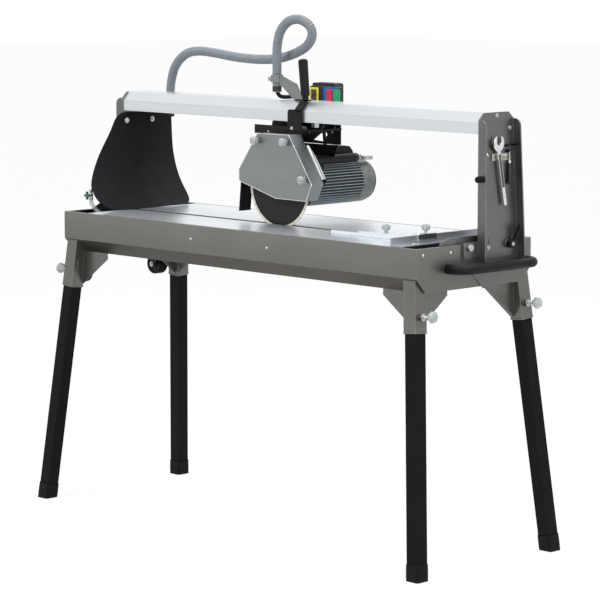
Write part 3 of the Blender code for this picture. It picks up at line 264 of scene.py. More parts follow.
def rubbery(name, colour, roughness=(0.5, 0.68), grain=900, worn=0.2):
    """Moulded rubber: fine grain, dusty high spots and scuffs."""
    look = Shader(name, colour, roughness[0], shine=0.15)
    fine = look.noise(grain, 2)
    cloud = look.noise(14, 5, (1, 1, 1), 0.6)
    scuffs = look.noise(60, 4, (1, 1, 6), 0.8)
    look.stain(cloud, 0.45, 0.75, worn, scaled(colour, 1.6, 0.001))
    look.stain(scuffs, 0.64, 0.74, worn, scaled(colour, 2.5, 0.006))
    return look.done(cloud, roughness, fine, 0.22, 0.0005)


def moulded(name, colour, roughness=(0.22, 0.34), see_through=0.0):
    """Injection-moulded plastic with a faint grain and cloudy scratches."""
    look = Shader(name, colour, roughness[0], edge=0.0006)
    fine = look.noise(500, 2)
    cloud = look.noise(40, 4, (1, 1, 1), 0.3)
    look.stain(cloud, 0.4, 0.75, 0.35, scaled(colour, 0.8))
    look.put("Transmission Weight", see_through)
    return look.done(cloud, roughness, fine, 0.1, 0.0004)


def zinc(name, colour, roughness=(0.24, 0.4)):
    """Plated steel: fasteners, axles and brackets."""
    look = Shader(name, colour, roughness[0], 1.0, edge=0.0005)
    cloud = look.noise(60, 4, (1, 1, 1), 0.5)
    fine = look.noise(400, 3)
    look.stain(cloud, 0.45, 0.75, 0.6, scaled(colour, 0.72))
    look.stain(fine, 0.62, 0.72, 0.25, (0.35, 0.3, 0.24))
    return look.done(cloud, roughness, fine, 0.1, 0.0003)


def motor_coat():
    """Grey-green coat on cast fins, with painted shade in the gaps between them."""
    look = Shader("motor_coat", (0.29, 0.345, 0.365), 0.42, 0.25, shine=0.4)
    patches = look.noise(26, 4, (1, 0.5, 1), 0.6)
    fine = look.noise(500, 2)
    look.stain(patches, 0.45, 0.65, 0.35, (0.2, 0.24, 0.255))
    # painted shade: near black below the fin tips, by distance from the motor's axis
    look.tint(look.band(look.from_motor_axis()[1], 0.064, 0.06), (0.024, 0.03, 0.034))
    return look.done(patches, (0.34, 0.5), fine, 0.08, 0.0004)


def cast_metal(name, colour):
    """Rough casting: a pebbled skin with stains and rubbed high spots."""
    look = Shader(name, colour, 0.5, 0.55)
    pebbles = look.noise(220, 4)
    stains = look.noise(38, 5, (1, 1, 1), 0.8)
    look.stain(stains, 0.42, 0.62, 0.6, scaled(colour, 0.55))
    look.stain(pebbles, 0.55, 0.68, 0.5, scaled(colour, 1.7))
    return look.done(stains, (0.42, 0.58), pebbles, 0.5, 0.0008)


def blade_steel():
    """Dark lacquered core and a paler sintered rim, told apart by the distance from the arbor."""
    look = Shader("blade_disc", (0.013, 0.013, 0.012), 0.45, 0.1, edge=0.0, shine=0.15)
    offset, radius = look.from_motor_axis()
    rings = look.add("TexWave", offset)
    rings.wave_type = "RINGS"
    rings.rings_direction = "Y"
    rings.inputs["Scale"].default_value = 260
    rings.inputs["Distortion"].default_value = 0.6
    grit = look.noise(900, 2)
    cloud = look.noise(22, 4, (1, 1, 1), 0.5)
    look.tint(look.times(rings.outputs["Fac"], 0.25), (0.022, 0.022, 0.021))
    look.stain(cloud, 0.45, 0.75, 0.35, (0.02, 0.019, 0.017))
    look.tint(look.band(radius, 0.116, 0.1172), (0.6, 0.57, 0.5))
    look.tint(look.times(look.band(grit, 0.55, 0.66), look.band(radius, 0.1165, 0.1175, 0.0, 0.6)),
              (0.25, 0.24, 0.22))
    return look.done(cloud, (0.32, 0.46), grit, 0.12, 0.0003)


TUB = sheet_steel("tub_sheet", (0.178, 0.179, 0.166), "x", tub=True)
POST = sheet_steel("post_sheet", (0.145, 0.149, 0.143), "z", (0.28, 0.4))
GUARD_SHEET = sheet_steel("guard_sheet", (0.225, 0.242, 0.242), "x", (0.26, 0.38))
POLISHED = zinc("polished_strip", (0.78, 0.79, 0.8), (0.1, 0.2))
PLATE = zinc("zinc_plate", (0.22, 0.236, 0.24), (0.34, 0.48))
ZINC = zinc("zinc_fastener", (0.52, 0.53, 0.53))
DARK_ZINC = zinc("dark_fastener", (0.1, 0.1, 0.1), (0.34, 0.48))
BOARD = extruded("table_board", (0.7, 0.73, 0.76))
RAIL = extruded("rail_extrusion", (0.42, 0.45, 0.48))
BEAM = extruded("beam_extrusion", (0.62, 0.65, 0.67))
BLACK = painted("black_coat", (0.003, 0.003, 0.0034), (0.28, 0.42), (0.06, 0.06, 0.065), 0.3, 0.18)
LEG = painted("leg_coat", (0.0025, 0.0025, 0.0028), (0.4, 0.55), (0.06, 0.06, 0.06), 0.2, 0.08)
RUBBER = rubbery("black_rubber", (0.0014, 0.0014, 0.0016))
FLAP = rubbery("flap_rubber", (0.001, 0.002, 0.0032), (0.5, 0.66), 700, 0.1)
GRIP = rubbery("grip_rubber", (0.0045, 0.0052, 0.006), (0.42, 0.56), 700)
KNOB = moulded("knob_plastic", (0.5, 0.54, 0.55), (0.16, 0.28), 0.55)
CLEAR = moulded("clear_tube", (0.78, 0.82, 0.86), (0.08, 0.16), 0.65)
BLUE = moulded("blue_plastic", (0.006, 0.095, 0.4))
YELLOW = moulded("yellow_plastic", (0.8, 0.72, 0.03))
RED = moulded("red_plastic", (0.62, 0.015, 0.035), (0.16, 0.26))
GREEN = moulded("green_plastic", (0.01, 0.32, 0.09), (0.16, 0.26))
TEAL = moulded("teal_plastic", (0.004, 0.115, 0.065), (0.22, 0.34))
BLACK_PLASTIC = moulded("black_plastic", (0.0065, 0.0065, 0.007), (0.38, 0.52))
HOSE = moulded("hose_plastic", (0.14, 0.16, 0.175), (0.4, 0.55))
BRASS = zinc("brass_wire", (0.42, 0.36, 0.16), (0.24, 0.38))
BLADE = blade_steel()
MOTOR = motor_coat()
COWL = cast_metal("cast_cowl", (0.15, 0.16, 0.156))
STOP = cast_metal("cast_stop", (0.36, 0.38, 0.38))

LOOKS = {"tub": TUB, "post_left": POST, "post_right": POST, "tilt_plate_left": POST, "tilt_plate_right": POST,
         "table_front_board": BOARD, "table_rear_board": BOARD, "end_stop_rail": RAIL, "fence_arm": BOARD,
         "beam": BEAM, "transport_handle": GRIP, "wheel_bracket": BLACK, "transport_wheels": RUBBER,
         "water_pump": BLACK_PLASTIC, "water_tap": ZINC, "tap_lever": TEAL, "fence_slide": POLISHED,
         "fence_slide_knob": KNOB, "fence_arm_knob": KNOB, "hung_tools": ZINC, "pivot_bolt_left": ZINC,
         "pivot_bolt_right": ZINC, "tilt_lever_left": BLACK, "tilt_lever_right": BLACK,
         "carriage_frame": BLACK, "push_grip": GRIP, "hose_bracket": PLATE, "junction_box": BLACK_PLASTIC,
         "switch_housing": BLACK_PLASTIC, "stop_button": RED, "start_button": GREEN, "wheelset_left": ZINC,
         "wheelset_right": ZINC, "guide_roller": ZINC, "head_bracket": BLACK, "motor_body": MOTOR,
         "fan_cover": BLACK_PLASTIC, "guard_cover": GUARD_SHEET, "guard_housing": POLISHED,
         "rear_flap": RUBBER, "guard_knob_left": KNOB, "guard_knob_middle": KNOB, "guard_knob_right": KNOB,
         "blade": BLADE, "blade_clamp": ZINC, "rotor_shaft": ZINC, "hose": HOSE, "splash_flap": FLAP, }
for corner in CORNERS:
    LOOKS[f"leg_{corner}"] = LEG
    LOOKS[f"foot_{corner}"] = RUBBER
    LOOKS[f"leg_knob_{corner}"] = KNOB
for name, node in NODES.items():
    node.data.materials.clear()
    node.data.materials.append(LOOKS[name])


# ---------------------------------------------------------------- mesh helpers

def finish_mesh(name, bm, look, body, smooth=35, bevel=0.0, segments=2):
    """A piece from a bmesh in the row frame: rounded edges, its material and the body it rides on."""
    bmesh.ops.recalc_face_normals(bm, faces=bm.faces)
    mesh = bpy.data.meshes.new(name)
    bm.to_mesh(mesh)
    bm.free()
    piece = bpy.data.objects.new(name, mesh)
    bpy.context.scene.collection.objects.link(piece)
    mesh.materials.append(look)
    mesh.shade_smooth()
    mesh.set_sharp_from_angle(angle=radians(smooth))
    if bevel:
        step = piece.modifiers.new("round", "BEVEL")
        step.width = bevel
        step.segments = segments
        step.limit_method = "ANGLE"
        step.angle_limit = radians(30)
        step.harden_normals = False
    if body:
        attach(piece, body)
    return piece


def place(axis, along, first, second):
    if axis == "x":
        return Vector((along, first, second))
    if axis == "y":
        return Vector((first, along, second))
    return Vector((first, second, along))


def prism(bm, outline, axis, low, high):
    near = [bm.verts.new(place(axis, low, *point)) for point in outline]
    far = [bm.verts.new(place(axis, high, *point)) for point in outline]
    bm.faces.new(near)
    bm.faces.new(far)
    for here in range(len(outline)):
        there = (here + 1) % len(outline)
        bm.faces.new((near[here], near[there], far[there], far[here]))


def plate(bm, outline, holes, axis, low, high):
    """A flat plate with openings in it."""
    loops = [outline] + holes
    corners = [point for loop in loops for point in loop]
    near = [bm.verts.new(place(axis, low, *point)) for point in corners]
    far = [bm.verts.new(place(axis, high, *point)) for point in corners]
    for triangle in tessellate_polygon([[Vector((*point, 0)) for point in loop] for loop in loops]):
        for side in (near, far):
            bm.faces.new([side[index] for index in triangle])
    start = 0
    for loop in loops:
        for step in range(len(loop)):
            here, there = start + step, start + (step + 1) % len(loop)
            bm.faces.new((near[here], near[there], far[there], far[here]))
        start += len(loop)


def box(bm, low, high):
    prism(bm, [(low[0], low[1]), (high[0], low[1]), (high[0], high[1]), (low[0], high[1])], "z", low[2],
          high[2])


def lathe(bm, profile, axis, centre, sides=32, matrix=None):
    """A turned solid; profile points are (radius, distance along the axis)."""
    rings = []
    for radius, along in profile:
        if radius == 0:
            points = [centre + place(axis, along, 0, 0)]
        else:
            points = [centre + place(axis, along, radius * cos(2 * pi * step / sides),
                                     radius * sin(2 * pi * step / sides)) for step in range(sides)]
        rings.append([bm.verts.new(matrix @ point if matrix else point) for point in points])
    closed = profile[0][0] > 0
    for ring, following in (zip(rings, rings[1:] + rings[:1]) if closed else zip(rings, rings[1:])):
        for here in range(sides):
            there = (here + 1) % sides
            corners = [ring[here % len(ring)], ring[there % len(ring)], following[there % len(following)],
                       following[here % len(following)]]
            bm.faces.new(list(dict.fromkeys(corners)))


def skin(bm, rings, closed=False):
    """Faces from each ring to the next, and from the last to the first if it is closed."""
    for ring, following in zip(rings, rings[1:] + rings[:1] if closed else rings[1:]):
        for here in range(len(ring)):
            there = (here + 1) % len(ring)
            bm.faces.new((ring[here], ring[there], following[there], following[here]))


def solid(bm, rings):
    skin(bm, rings)
    bm.faces.new(rings[0])
    bm.faces.new(rings[-1])


def band(bm, axis, loops, centre=(0, 0, 0)):
    """A closed band through outlines, each at its place along the axis."""
    skin(bm, [[bm.verts.new(Vector(centre) + place(axis, along, *point)) for point in outline] for outline,
              along in loops], closed=True)


def around(outline, angle, centre):
    """An outline turned by an angle and moved to the centre."""
    return [(centre[0] + a * cos(angle) - b * sin(angle), centre[1] + a * sin(angle) + b * cos(angle)) for a,
            b in outline]


def close_sheet(bm, grids):
    """Faces over the two layers of a sheet and round its border."""
    rows, columns = len(grids[0]) - 1, len(grids[0][0]) - 1
    for grid in grids:
        for row in range(rows):
            for column in range(columns):
                bm.faces.new((grid[row][column], grid[row][column + 1], grid[row + 1][column + 1],
                              grid[row + 1][column]))
    border = [(0, column) for column in range(columns)] + [(row, columns) for row in range(rows)]
    border += [(rows, column) for column in range(columns, 0, -1)] + [(row, 0) for row in range(rows, 0, -1)]
    for (row, column), (other, following) in zip(border, border[1:] + border[:1]):
        bm.faces.new((grids[0][row][column], grids[0][other][following], grids[1][other][following],
                      grids[1][row][column]))


def ring_points(centre, side, up, radius, sides):
    return [centre + side * (radius * cos(2 * pi * step / sides)) + up * (radius * sin(2 * pi * step / sides))
            for step in range(sides)]


def sweep(bm, points, radii, sides):
    """A round tube along a route, without twist."""
    frames = []
    direction = (points[1] - points[0]).normalized()
    side = direction.orthogonal().normalized()
    for index, point in enumerate(points):
        after = points[min(index + 1, len(points) - 1)]
        before = points[max(index - 1, 0)]
        new = (after - before).normalized()
        side = (side - new * side.dot(new)).normalized()
        frames.append((point, side, new.cross(side)))
    rings = []
    for (point, side, up), radius in zip(frames, radii):
        rings.append([bm.verts.new(corner) for corner in ring_points(point, side, up, radius, sides)])
    solid(bm, rings)


def catmull(points, steps):
    route = [Vector(point) for point in points]
    padded = [2 * route[0] - route[1]] + route + [2 * route[-1] - route[-2]]
    curve = []
    for before, start, end, after in zip(padded, padded[1:], padded[2:], padded[3:]):
        for step in range(steps):
            t = step / steps
            curve.append(0.5 * (2 * start + (end - before) * t
                                + (2 * before - 5 * start + 4 * end - after) * t * t
                                + (3 * start - before - 3 * end + after) * t ** 3))
    curve.append(route[-1])
    return curve


def even_points(points, count):
    lengths = [0.0]
    for here, there in zip(points, points[1:]):
        lengths.append(lengths[-1] + (there - here).length)
    result = []
    index = 0
    for step in range(count + 1):
        wanted = lengths[-1] * step / count
        while index < len(points) - 2 and lengths[index + 1] < wanted:
            index += 1
        share = (wanted - lengths[index]) / (lengths[index + 1] - lengths[index])
        result.append(points[index].lerp(points[index + 1], min(max(share, 0), 1)))
    return result


def arc(centre, radius, start, end, steps):
    return [(centre[0] + radius * cos(radians(start + (end - start) * step / steps)), centre[1]
             + radius * sin(radians(start + (end - start) * step / steps))) for step in range(steps + 1)]


def rounded_rect(half_a, half_b, radius, steps=4, centre=(0.0, 0.0)):
    points = []
    for quarter, (sign_a, sign_b) in enumerate(((1, 1), (-1, 1), (-1, -1), (1, -1))):
        corner = (centre[0] + sign_a * (half_a - radius), centre[1] + sign_b * (half_b - radius))
        points += arc(corner, radius, 90 * quarter, 90 * quarter + 90, steps)
    return points


def hex_bolt(bm, axis, spot, size, sense, washer=True, depth=0.62):
    """Bolt head with its chamfered top on a washer; the sense says which way it faces."""
    height = size * depth
    base = 0.0
    if washer:
        lathe(bm, [(0, 0), (size * 1.1, 0), (size * 1.1, sense * size * 0.13), (0, sense * size * 0.13)],
              axis, spot, 20)
        base = size * 0.14
    rings = [[bm.verts.new(spot + place(axis, sense * along, a * scale, b * scale)) for a,
              b in arc((0, 0), size * 0.62, 0, 300, 5)] for along,
             scale in ((base, 1.0), (base + height * 0.85, 1.0), (base + height, 0.88))]
    solid(bm, rings)


def dome_screw(bm, axis, spot, radius, sense):
    """Domed head with a round socket."""
    sides = 24
    rings = []
    for reach, along in ((0.42, 0.1), (0.42, 0.52), (0.7, 0.46), (0.92, 0.24), (1, 0)):
        ring = arc((0, 0), radius * reach, 0, 360 - 360 / sides, sides - 1)
        rings.append([bm.verts.new(spot + place(axis, sense * radius * along, a, b)) for a, b in ring])
    solid(bm, rings)


# ---------------------------------------------------------------- hose

HOSE_ROUTE = [(-0.705, 0.166, 1.205), (-0.705, 0.166, 1.245), (-0.7, 0.166, 1.295), (-0.672, 0.16, 1.345),
              (-0.615, 0.15, 1.382), (-0.545, 0.14, 1.395), (-0.455, 0.13, 1.392), (-0.365, 0.122, 1.384),
              (-0.275, 0.114, 1.38), (-0.195, 0.106, 1.381), (-0.12, 0.096, 1.389), (-0.05, 0.084, 1.405),
              (0.008, 0.074, 1.428), (0.04, 0.064, 1.458), (0.04, 0.055, 1.487), (0.008, 0.047, 1.506),
              (-0.034, 0.041, 1.501), (-0.066, 0.037, 1.47), (-0.079, 0.036, 1.425), (-0.08, 0.036, 1.375),
              (-0.08, 0.036, 1.33), (-0.08, 0.036, 1.29)]


def make_hose():
    """Ribbed conduit: each rib has a rounded crest and a narrow root."""
    ribs = 190
    steps = 6
    points = even_points(catmull(HOSE_ROUTE, 16), ribs * steps)
    radii = []
    for index in range(len(points)):
        phase = (index % steps) / steps
        swell = max(0.0, sin(pi * min(phase / 0.72, 1.0))) ** 0.55
        inside = steps * 3 < index < len(points) - steps * 3
        radii.append(0.0128 + (0.0016 * swell if inside else 0.0006))
    bm = bmesh.new()
    sweep(bm, points, radii, 20)
    hose = finish_mesh("cable_hose", bm, HOSE, None, smooth=80)
    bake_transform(hose)
    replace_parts(hose, "hose")


make_hose()


# ---------------------------------------------------------------- rubber curtains

FLAP_ROWS = [(1.2, 0.0, 0.205), (1.183, -0.024, 0.207), (1.134, -0.056, 0.206), (1.063, -0.115, 0.199),
             (1.006, -0.158, 0.196), (0.974, -0.174, 0.197), (0.94, -0.17, 0.2), (0.92, -0.152, 0.196),
             (0.9075, -0.125, 0.18)]


def make_splash_flap():
    """Thick rubber curtain with soft hanging folds and a thicker hem."""
    rows = catmull([(low, high, height) for height, low, high in FLAP_ROWS], 8)
    columns = 40
    top, foot = FLAP_ROWS[0][0], FLAP_ROWS[-1][0]
    grids = [[], []]
    bm = bmesh.new()
    for row, (low, high, height) in enumerate(rows):
        share = min(max((top - height) / (top - foot), 0), 1)
        for layer, grid in enumerate(grids):
            line = []
            for column in range(columns + 1):
                across = column / columns
                y = low + (high - low) * across
                fold = 0.0016 * share * sin(6.0 * across + 2.2) + 0.0007 * share * sin(19 * across
                                                                                       + 4 * share)
                edge = min(across, 1 - across) * (high - low)
                hem = 0.0008 if edge < 0.006 or row > len(rows) - 4 else 0.0
                x = -0.7522 + 0.106 * share ** 2.3 + fold + 0.0012
                x += (0.0022 + hem) if layer else -(0.0002 + hem * share)
                line.append(bm.verts.new((max(x, -0.7526), y, height)))
            grid.append(line)
    close_sheet(bm, grids)
    flap = finish_mesh("splash_curtain", bm, FLAP, "bridge", smooth=50)
    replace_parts(flap, "splash_flap")
    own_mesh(flap)
    bm = bmesh.new()
    for spot in (0.02, 0.126):
        hex_bolt(bm, "x", Vector((-0.7478, spot, 1.175)), 0.008, 1)
    finish_mesh("curtain_bolts", bm, ZINC, "bridge", bevel=0.0003)


def make_rear_flap():
    """Mud flap behind the blade, two thin layers slit from below and slightly curled."""
    bm = bmesh.new()
    rows, columns = 16, 12
    for slit in (0, 1):
        grids = [[], []]
        low, high = ((-0.054, -0.0315), (-0.0305, -0.008))[slit]
        for row in range(rows + 1):
            share = row / rows
            z = 1.029 - 0.094 * share
            for layer, grid in enumerate(grids):
                line = []
                for column in range(columns + 1):
                    across = column / columns
                    curl = 0.0012 * sin(pi * across) * share
                    x = -0.1395 - 0.0095 * share - 0.0028 * layer - curl
                    line.append(bm.verts.new((x, low + (high - low) * across, z)))
                grid.append(line)
        close_sheet(bm, grids)
    flap = finish_mesh("blade_mud_flap", bm, FLAP, "head", smooth=50, bevel=0.0003)
    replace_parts(flap, "rear_flap")


make_splash_flap()
make_rear_flap()


# ---------------------------------------------------------------- knobs and legs

def leg_matrix(corner):
    sign = Vector((*CORNERS[corner], 1))
    foot = Vector((0.733, 0.221, 0.671)) * sign
    up = (foot - Vector((0.799, 0.278, 0.0)) * sign).normalized()
    across = (Vector((1, 0, 0)) - up * up.x).normalized()
    rotation = Matrix((across, up.cross(across), up)).transposed().to_4x4()
    return Matrix.Translation(foot) @ rotation


def star_knob(bm, axis, profile, lobes, depth, matrix):
    """A turned knob whose rim is scalloped; the last profile entry says how deep the scallops go there."""
    count = lobes * 8
    rings = []
    for radius, along, share in profile:
        ring = []
        for step in range(count):
            turn = 2 * pi * step / count
            reach = radius * (1 - depth * share * (0.5 - 0.5 * cos(lobes * turn)))
            ring.append(bm.verts.new(matrix @ place(axis, along, reach * cos(turn), reach * sin(turn))))
        rings.append(ring)
    solid(bm, rings)


def make_leg_details():
    for corner, (side, _) in CORNERS.items():
        matrix = leg_matrix(corner)
        at = matrix @ Matrix.Translation((0, 0, 0.045))
        profile = [(0.007, 0.0505, 0), (0.009, 0.052, 0), (0.009, 0.057, 0), (0.014, 0.0585, 1),
                   (0.0165, 0.0615, 1), (0.017, 0.0655, 1), (0.0165, 0.0695, 1), (0.0145, 0.0725, 1),
                   (0.01, 0.0741, 0.4), (0.003, 0.0745, 0)]
        bm = bmesh.new()
        star_knob(bm, "x", [(r, side * a, s) for r, a, s in profile], 7, 0.12, at)
        knob = finish_mesh(f"clamp_knob_{corner}", bm, KNOB, f"leg_screw_{corner}", smooth=50)
        bm = bmesh.new()
        thread = [(0, side * 0.0203), (0.0034, side * 0.0203)]
        for turn in range(16):
            start = 0.0215 + 0.0018 * turn
            thread += [(0.004, side * (start + 0.0004)), (0.004, side * (start + 0.0008)),
                       (0.0035, side * (start + 0.0013))]
        thread += [(0.006, side * 0.051), (0, side * 0.0512)]
        lathe(bm, thread, "x", Vector((0, 0, 0)), 20, at)
        screw = finish_mesh(f"clamp_thread_{corner}", bm, ZINC, f"leg_screw_{corner}", smooth=50)
        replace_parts(knob, f"leg_knob_{corner}")
        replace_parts(screw, f"leg_knob_{corner}")
        bm = bmesh.new()
        prism(bm, rounded_rect(0.0176, 0.0176, 0.002, 3), "z", 0.09, 0.1)
        bm.transform(matrix)
        finish_mesh(f"leg_top_plug_{corner}", bm, BLACK_PLASTIC, f"leg_assembly_{corner}", bevel=0.001)
        bm = bmesh.new()
        for height in (-0.646, -0.652, -0.658, -0.664):
            prism(bm, rounded_rect(0.0234, 0.0234, 0.005, 4), "z", height - 0.0012, height + 0.0012)
        bm.transform(matrix)
        finish_mesh(f"foot_ribs_{corner}", bm, RUBBER, f"leg_assembly_{corner}", bevel=0.0006)
        bm = bmesh.new()
        collar = rounded_rect(0.0242, 0.0242, 0.0025, 3)
        inner = rounded_rect(0.0227, 0.0227, 0.0015, 3)
        band(bm, "z", ((collar, 0.0005), (collar, 0.0035), (inner, 0.004), (inner, 0.0)))
        bm.transform(matrix)
        finish_mesh(f"socket_rim_{corner}", bm, POST, "stand", smooth=60)
        bm = bmesh.new()
        turn = Matrix.Translation((side * 0.0305, 0, 0.045))
        lathe(bm, [(0.0048, side * 0.0), (0.01, side * 0.0), (0.01, side * 0.0014), (0.0048, side * 0.0014)],
              "x", Vector((0, 0, 0)), 24, matrix @ turn)
        finish_mesh(f"clamp_washer_{corner}", bm, ZINC, "stand", smooth=40)


def make_small_knobs():
    profile = [(0.005, 0.0004, 0), (0.0052, 0.006, 0), (0.0096, 0.0076, 0.6), (0.0122, 0.0105, 1),
               (0.0125, 0.014, 1), (0.0123, 0.0185, 1), (0.0105, 0.022, 0.8), (0.006, 0.024, 0.2),
               (0.002, 0.0246, 0)]
    for name, spot, body, node in (("saddle_knob", Vector((0.643, -0.085, 0.9325)), "fence_saddle_screw",
                                    "fence_slide_knob"), ("arm_knob", Vector((0.49, -0.085, 0.921)),
                                                          "fence_swing_screw", "fence_arm_knob")):
        bm = bmesh.new()
        star_knob(bm, "z", profile, 8, 0.14, Matrix.Translation(spot))
        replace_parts(finish_mesh(name, bm, KNOB, body, smooth=50), node)
    for name, spot in GUARD_KNOBS.items():
        bm = bmesh.new()
        star_knob(bm, "y", [(radius, -along, share) for radius, along, share in profile], 8, 0.14,
                  Matrix.Translation((spot[0], -0.056, spot[1])))
        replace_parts(finish_mesh(f"cover_knob_{name}", bm, KNOB, f"guard_screw_{name}", smooth=50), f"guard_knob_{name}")
        bm = bmesh.new()
        lathe(bm, [(0.0055, -0.0001), (0.0088, -0.0001), (0.0088, -0.001), (0.0055, -0.001)], "y",
              Vector((spot[0], -0.056, spot[1])), 24)
        finish_mesh(f"cover_washer_{name}", bm, ZINC, "head", smooth=40)


make_leg_details()
make_small_knobs()


# ---------------------------------------------------------------- stand details

def weld_bead(bm, start, end, radius=0.0016, seed=0):
    """A stacked-ripple weld bead along a line."""
    start, end = Vector(start), Vector(end)
    count = max(int((end - start).length / 0.001), 8)
    points = [start.lerp(end, step / count) for step in range(count + 1)]
    radii = [radius * (0.86 + 0.14 * abs(sin(step * 1.1 + seed))) * min(1, (step + 1) / 3,
                                                                        (count - step + 1) / 3)
             for step in range(count + 1)]
    sweep(bm, points, radii, 8)


def make_stand_details():
    bm = bmesh.new()
    for spot in ((-0.1658, 0.8631), (0.1595, 0.8625)):
        dome_screw(bm, "y", Vector((spot[0], -0.2361, spot[1])), 0.0048, -1)
    for side in (-1, 1):
        for spot in (-0.2086, -0.0976):
            dome_screw(bm, "x", Vector((side * 0.7501, spot, 0.8859)), 0.0048, side)
    finish_mesh("tub_screws", bm, ZINC, "stand", smooth=40)
    bm = bmesh.new()
    for side_x in (-1, 1):
        for side_y in (-1, 1):
            weld_bead(bm, (side_x * 0.7496, side_y * 0.2356, 0.8235),
                      (side_x * 0.7496, side_y * 0.2005, 0.7835), 0.0012, side_x)
            weld_bead(bm, (side_x * 0.7496, side_y * 0.2356, 0.8235), (side_x * 0.7496, side_y * 0.2356, 0.9),
                      0.0009, side_y)
    for corner in CORNERS:
        matrix = leg_matrix(corner)
        side_x, side_y = CORNERS[corner]
        for along in (0.01, 0.06):
            start = matrix @ Vector((-side_x * 0.0226, side_y * 0.01, along))
            end = matrix @ Vector((-side_x * 0.0226, side_y * 0.01, along + 0.03))
            weld_bead(bm, start, end, 0.0016, along)
    finish_mesh("weld_beads", bm, POST, "stand", smooth=60)
    bm = bmesh.new()
    lathe(bm, [(0, 0.768), (0.012, 0.768), (0.0135, 0.7695), (0.0135, 0.776), (0.018, 0.7765),
               (0.018, 0.7818), (0, 0.7818)], "z", Vector((0.56, 0.0, 0)), 32)
    finish_mesh("drain_plug", bm, BLACK_PLASTIC, "stand", smooth=40, bevel=0.0004)
    bm = bmesh.new()
    for y in (-0.1633, 0.1633, 0):
        dome_screw(bm, "z", Vector((0.67, y, 0.9086)), 0.0045, 1)
    finish_mesh("rail_screws", bm, ZINC, "stand", smooth=40)
    for label, side in SIDES.items():
        bm = bmesh.new()
        for step in range(10):
            far, wide = 0.1815, 0.0004
            near = far - (0.01 if step % 2 == 0 else 0.006)
            outline = around([(near, -wide), (far, -wide), (far, wide), (near, wide)], radians(2 + 5 * step),
                             TILT_PIVOT)
            prism(bm, outline, "x", *sorted((side * 0.752, side * 0.75278)))
        finish_mesh(f"tilt_marks_{label}", bm, DARK_ZINC, "stand", smooth=30)
    make_handle()


def make_handle():
    """Rubber-sleeved tube bent round the right-hand end."""
    radius, bend, reach, level = 0.014, 0.034, 0.808, 0.842
    front, rear = -0.11, 0.2
    route = [(0.7503, front), (0.753, front)] + arc((reach - bend, front + bend), bend, 270, 360, 14)
    route += arc((reach - bend, rear - bend), bend, 0, 90, 14) + [(0.753, rear), (0.7503, rear)]
    bm = bmesh.new()
    sweep(bm, [Vector((a, b, level)) for a, b in route], [radius] * len(route), 28)
    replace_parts(finish_mesh("handle_tube", bm, GRIP, "stand", smooth=60),
                "transport_handle")


def make_transport_details():
    """Two wheels on stub axles, each beside a cheek of one bracket plate."""
    hub = Vector((-0.762, 0.0, 0.708))
    out, cheek = 0.156, 0.1345
    tyre_profile = [(0.0265, -0.0168), (0.03, -0.0172), (0.0316, -0.015), (0.032, -0.01), (0.032, -0.006),
                    (0.0314, -0.005), (0.0314, -0.004), (0.032, -0.003), (0.032, 0.003), (0.0314, 0.004),
                    (0.0314, 0.005), (0.032, 0.006), (0.032, 0.01), (0.0316, 0.015), (0.03, 0.0172),
                    (0.0265, 0.0168), (0.0258, 0.012), (0.0258, -0.012)]
    rim_profile = [(0.0043, -0.0178), (0.01, -0.0178), (0.0112, -0.0166), (0.0118, -0.01), (0.0225, -0.0085),
                   (0.024, -0.0125), (0.0262, -0.0125), (0.0262, 0.0125), (0.024, 0.0125), (0.0225, 0.0085),
                   (0.0118, 0.01), (0.0112, 0.0166), (0.01, 0.0178), (0.0043, 0.0178)]
    tyres, rims, axles = bmesh.new(), bmesh.new(), bmesh.new()
    for side in (-1, 1):
        centre = hub + Vector((0, side * out, 0))
        lathe(tyres, tyre_profile, "y", centre, 48)
        lathe(rims, rim_profile, "y", centre, 48)
        for spoke in range(5):
            outline = around([(0.0105, -0.0014), (0.0235, -0.0014), (0.0235, 0.0014), (0.0105, 0.0014)],
                             2 * pi * spoke / 5, (hub.x, hub.z))
            prism(rims, outline, "y", centre.y - 0.0122, centre.y + 0.0122)
        ends = [side * cheek, side * (out + 0.0185)]
        lathe(axles, [(0, ends[0]), (0.0042, ends[0]), (0.0042, ends[1]), (0, ends[1])], "y", hub, 24)
        hex_bolt(axles, "y", hub + Vector((0, side * (out + 0.018), 0)), 0.007, side)
        hex_bolt(axles, "y", hub + Vector((0, side * (cheek - 0.0032), 0)), 0.007, -side)
    for part in (finish_mesh("wheel_tyres", tyres, RUBBER, "transport_wheelset", smooth=40), finish_mesh("wheel_rims", rims, BLACK_PLASTIC,
                                                               "transport_wheelset", smooth=35, bevel=0.0003),
                 finish_mesh("wheel_axles", axles, ZINC, "transport_wheelset", smooth=40, bevel=0.0002)):
        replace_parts(part, "transport_wheels")
    bm = bmesh.new()
    top = 0.7817
    box(bm, (-0.7485, -0.16, top - 0.003), (-0.726, 0.16, top))
    for side in (-1, 1):
        outline = [(-0.774, 0.699), (-0.766, 0.695), (-0.756, 0.695), (-0.726, 0.745), (-0.726, top - 0.001),
                   (-0.749, top - 0.001), (-0.774, 0.716)]
        prism(bm, outline, "y", *sorted((side * cheek, side * (cheek - 0.003))))
    bracket = finish_mesh("wheel_plate", bm, BLACK, "stand", smooth=40, bevel=0.0006)
    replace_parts(bracket, "wheel_bracket")
    bm = bmesh.new()
    for spot in (-0.1, 0.1):
        hex_bolt(bm, "z", Vector((-0.7373, spot, 0.7784)), 0.006, -1)
    finish_mesh("bracket_bolts", bm, ZINC, "stand", smooth=40, bevel=0.0002)


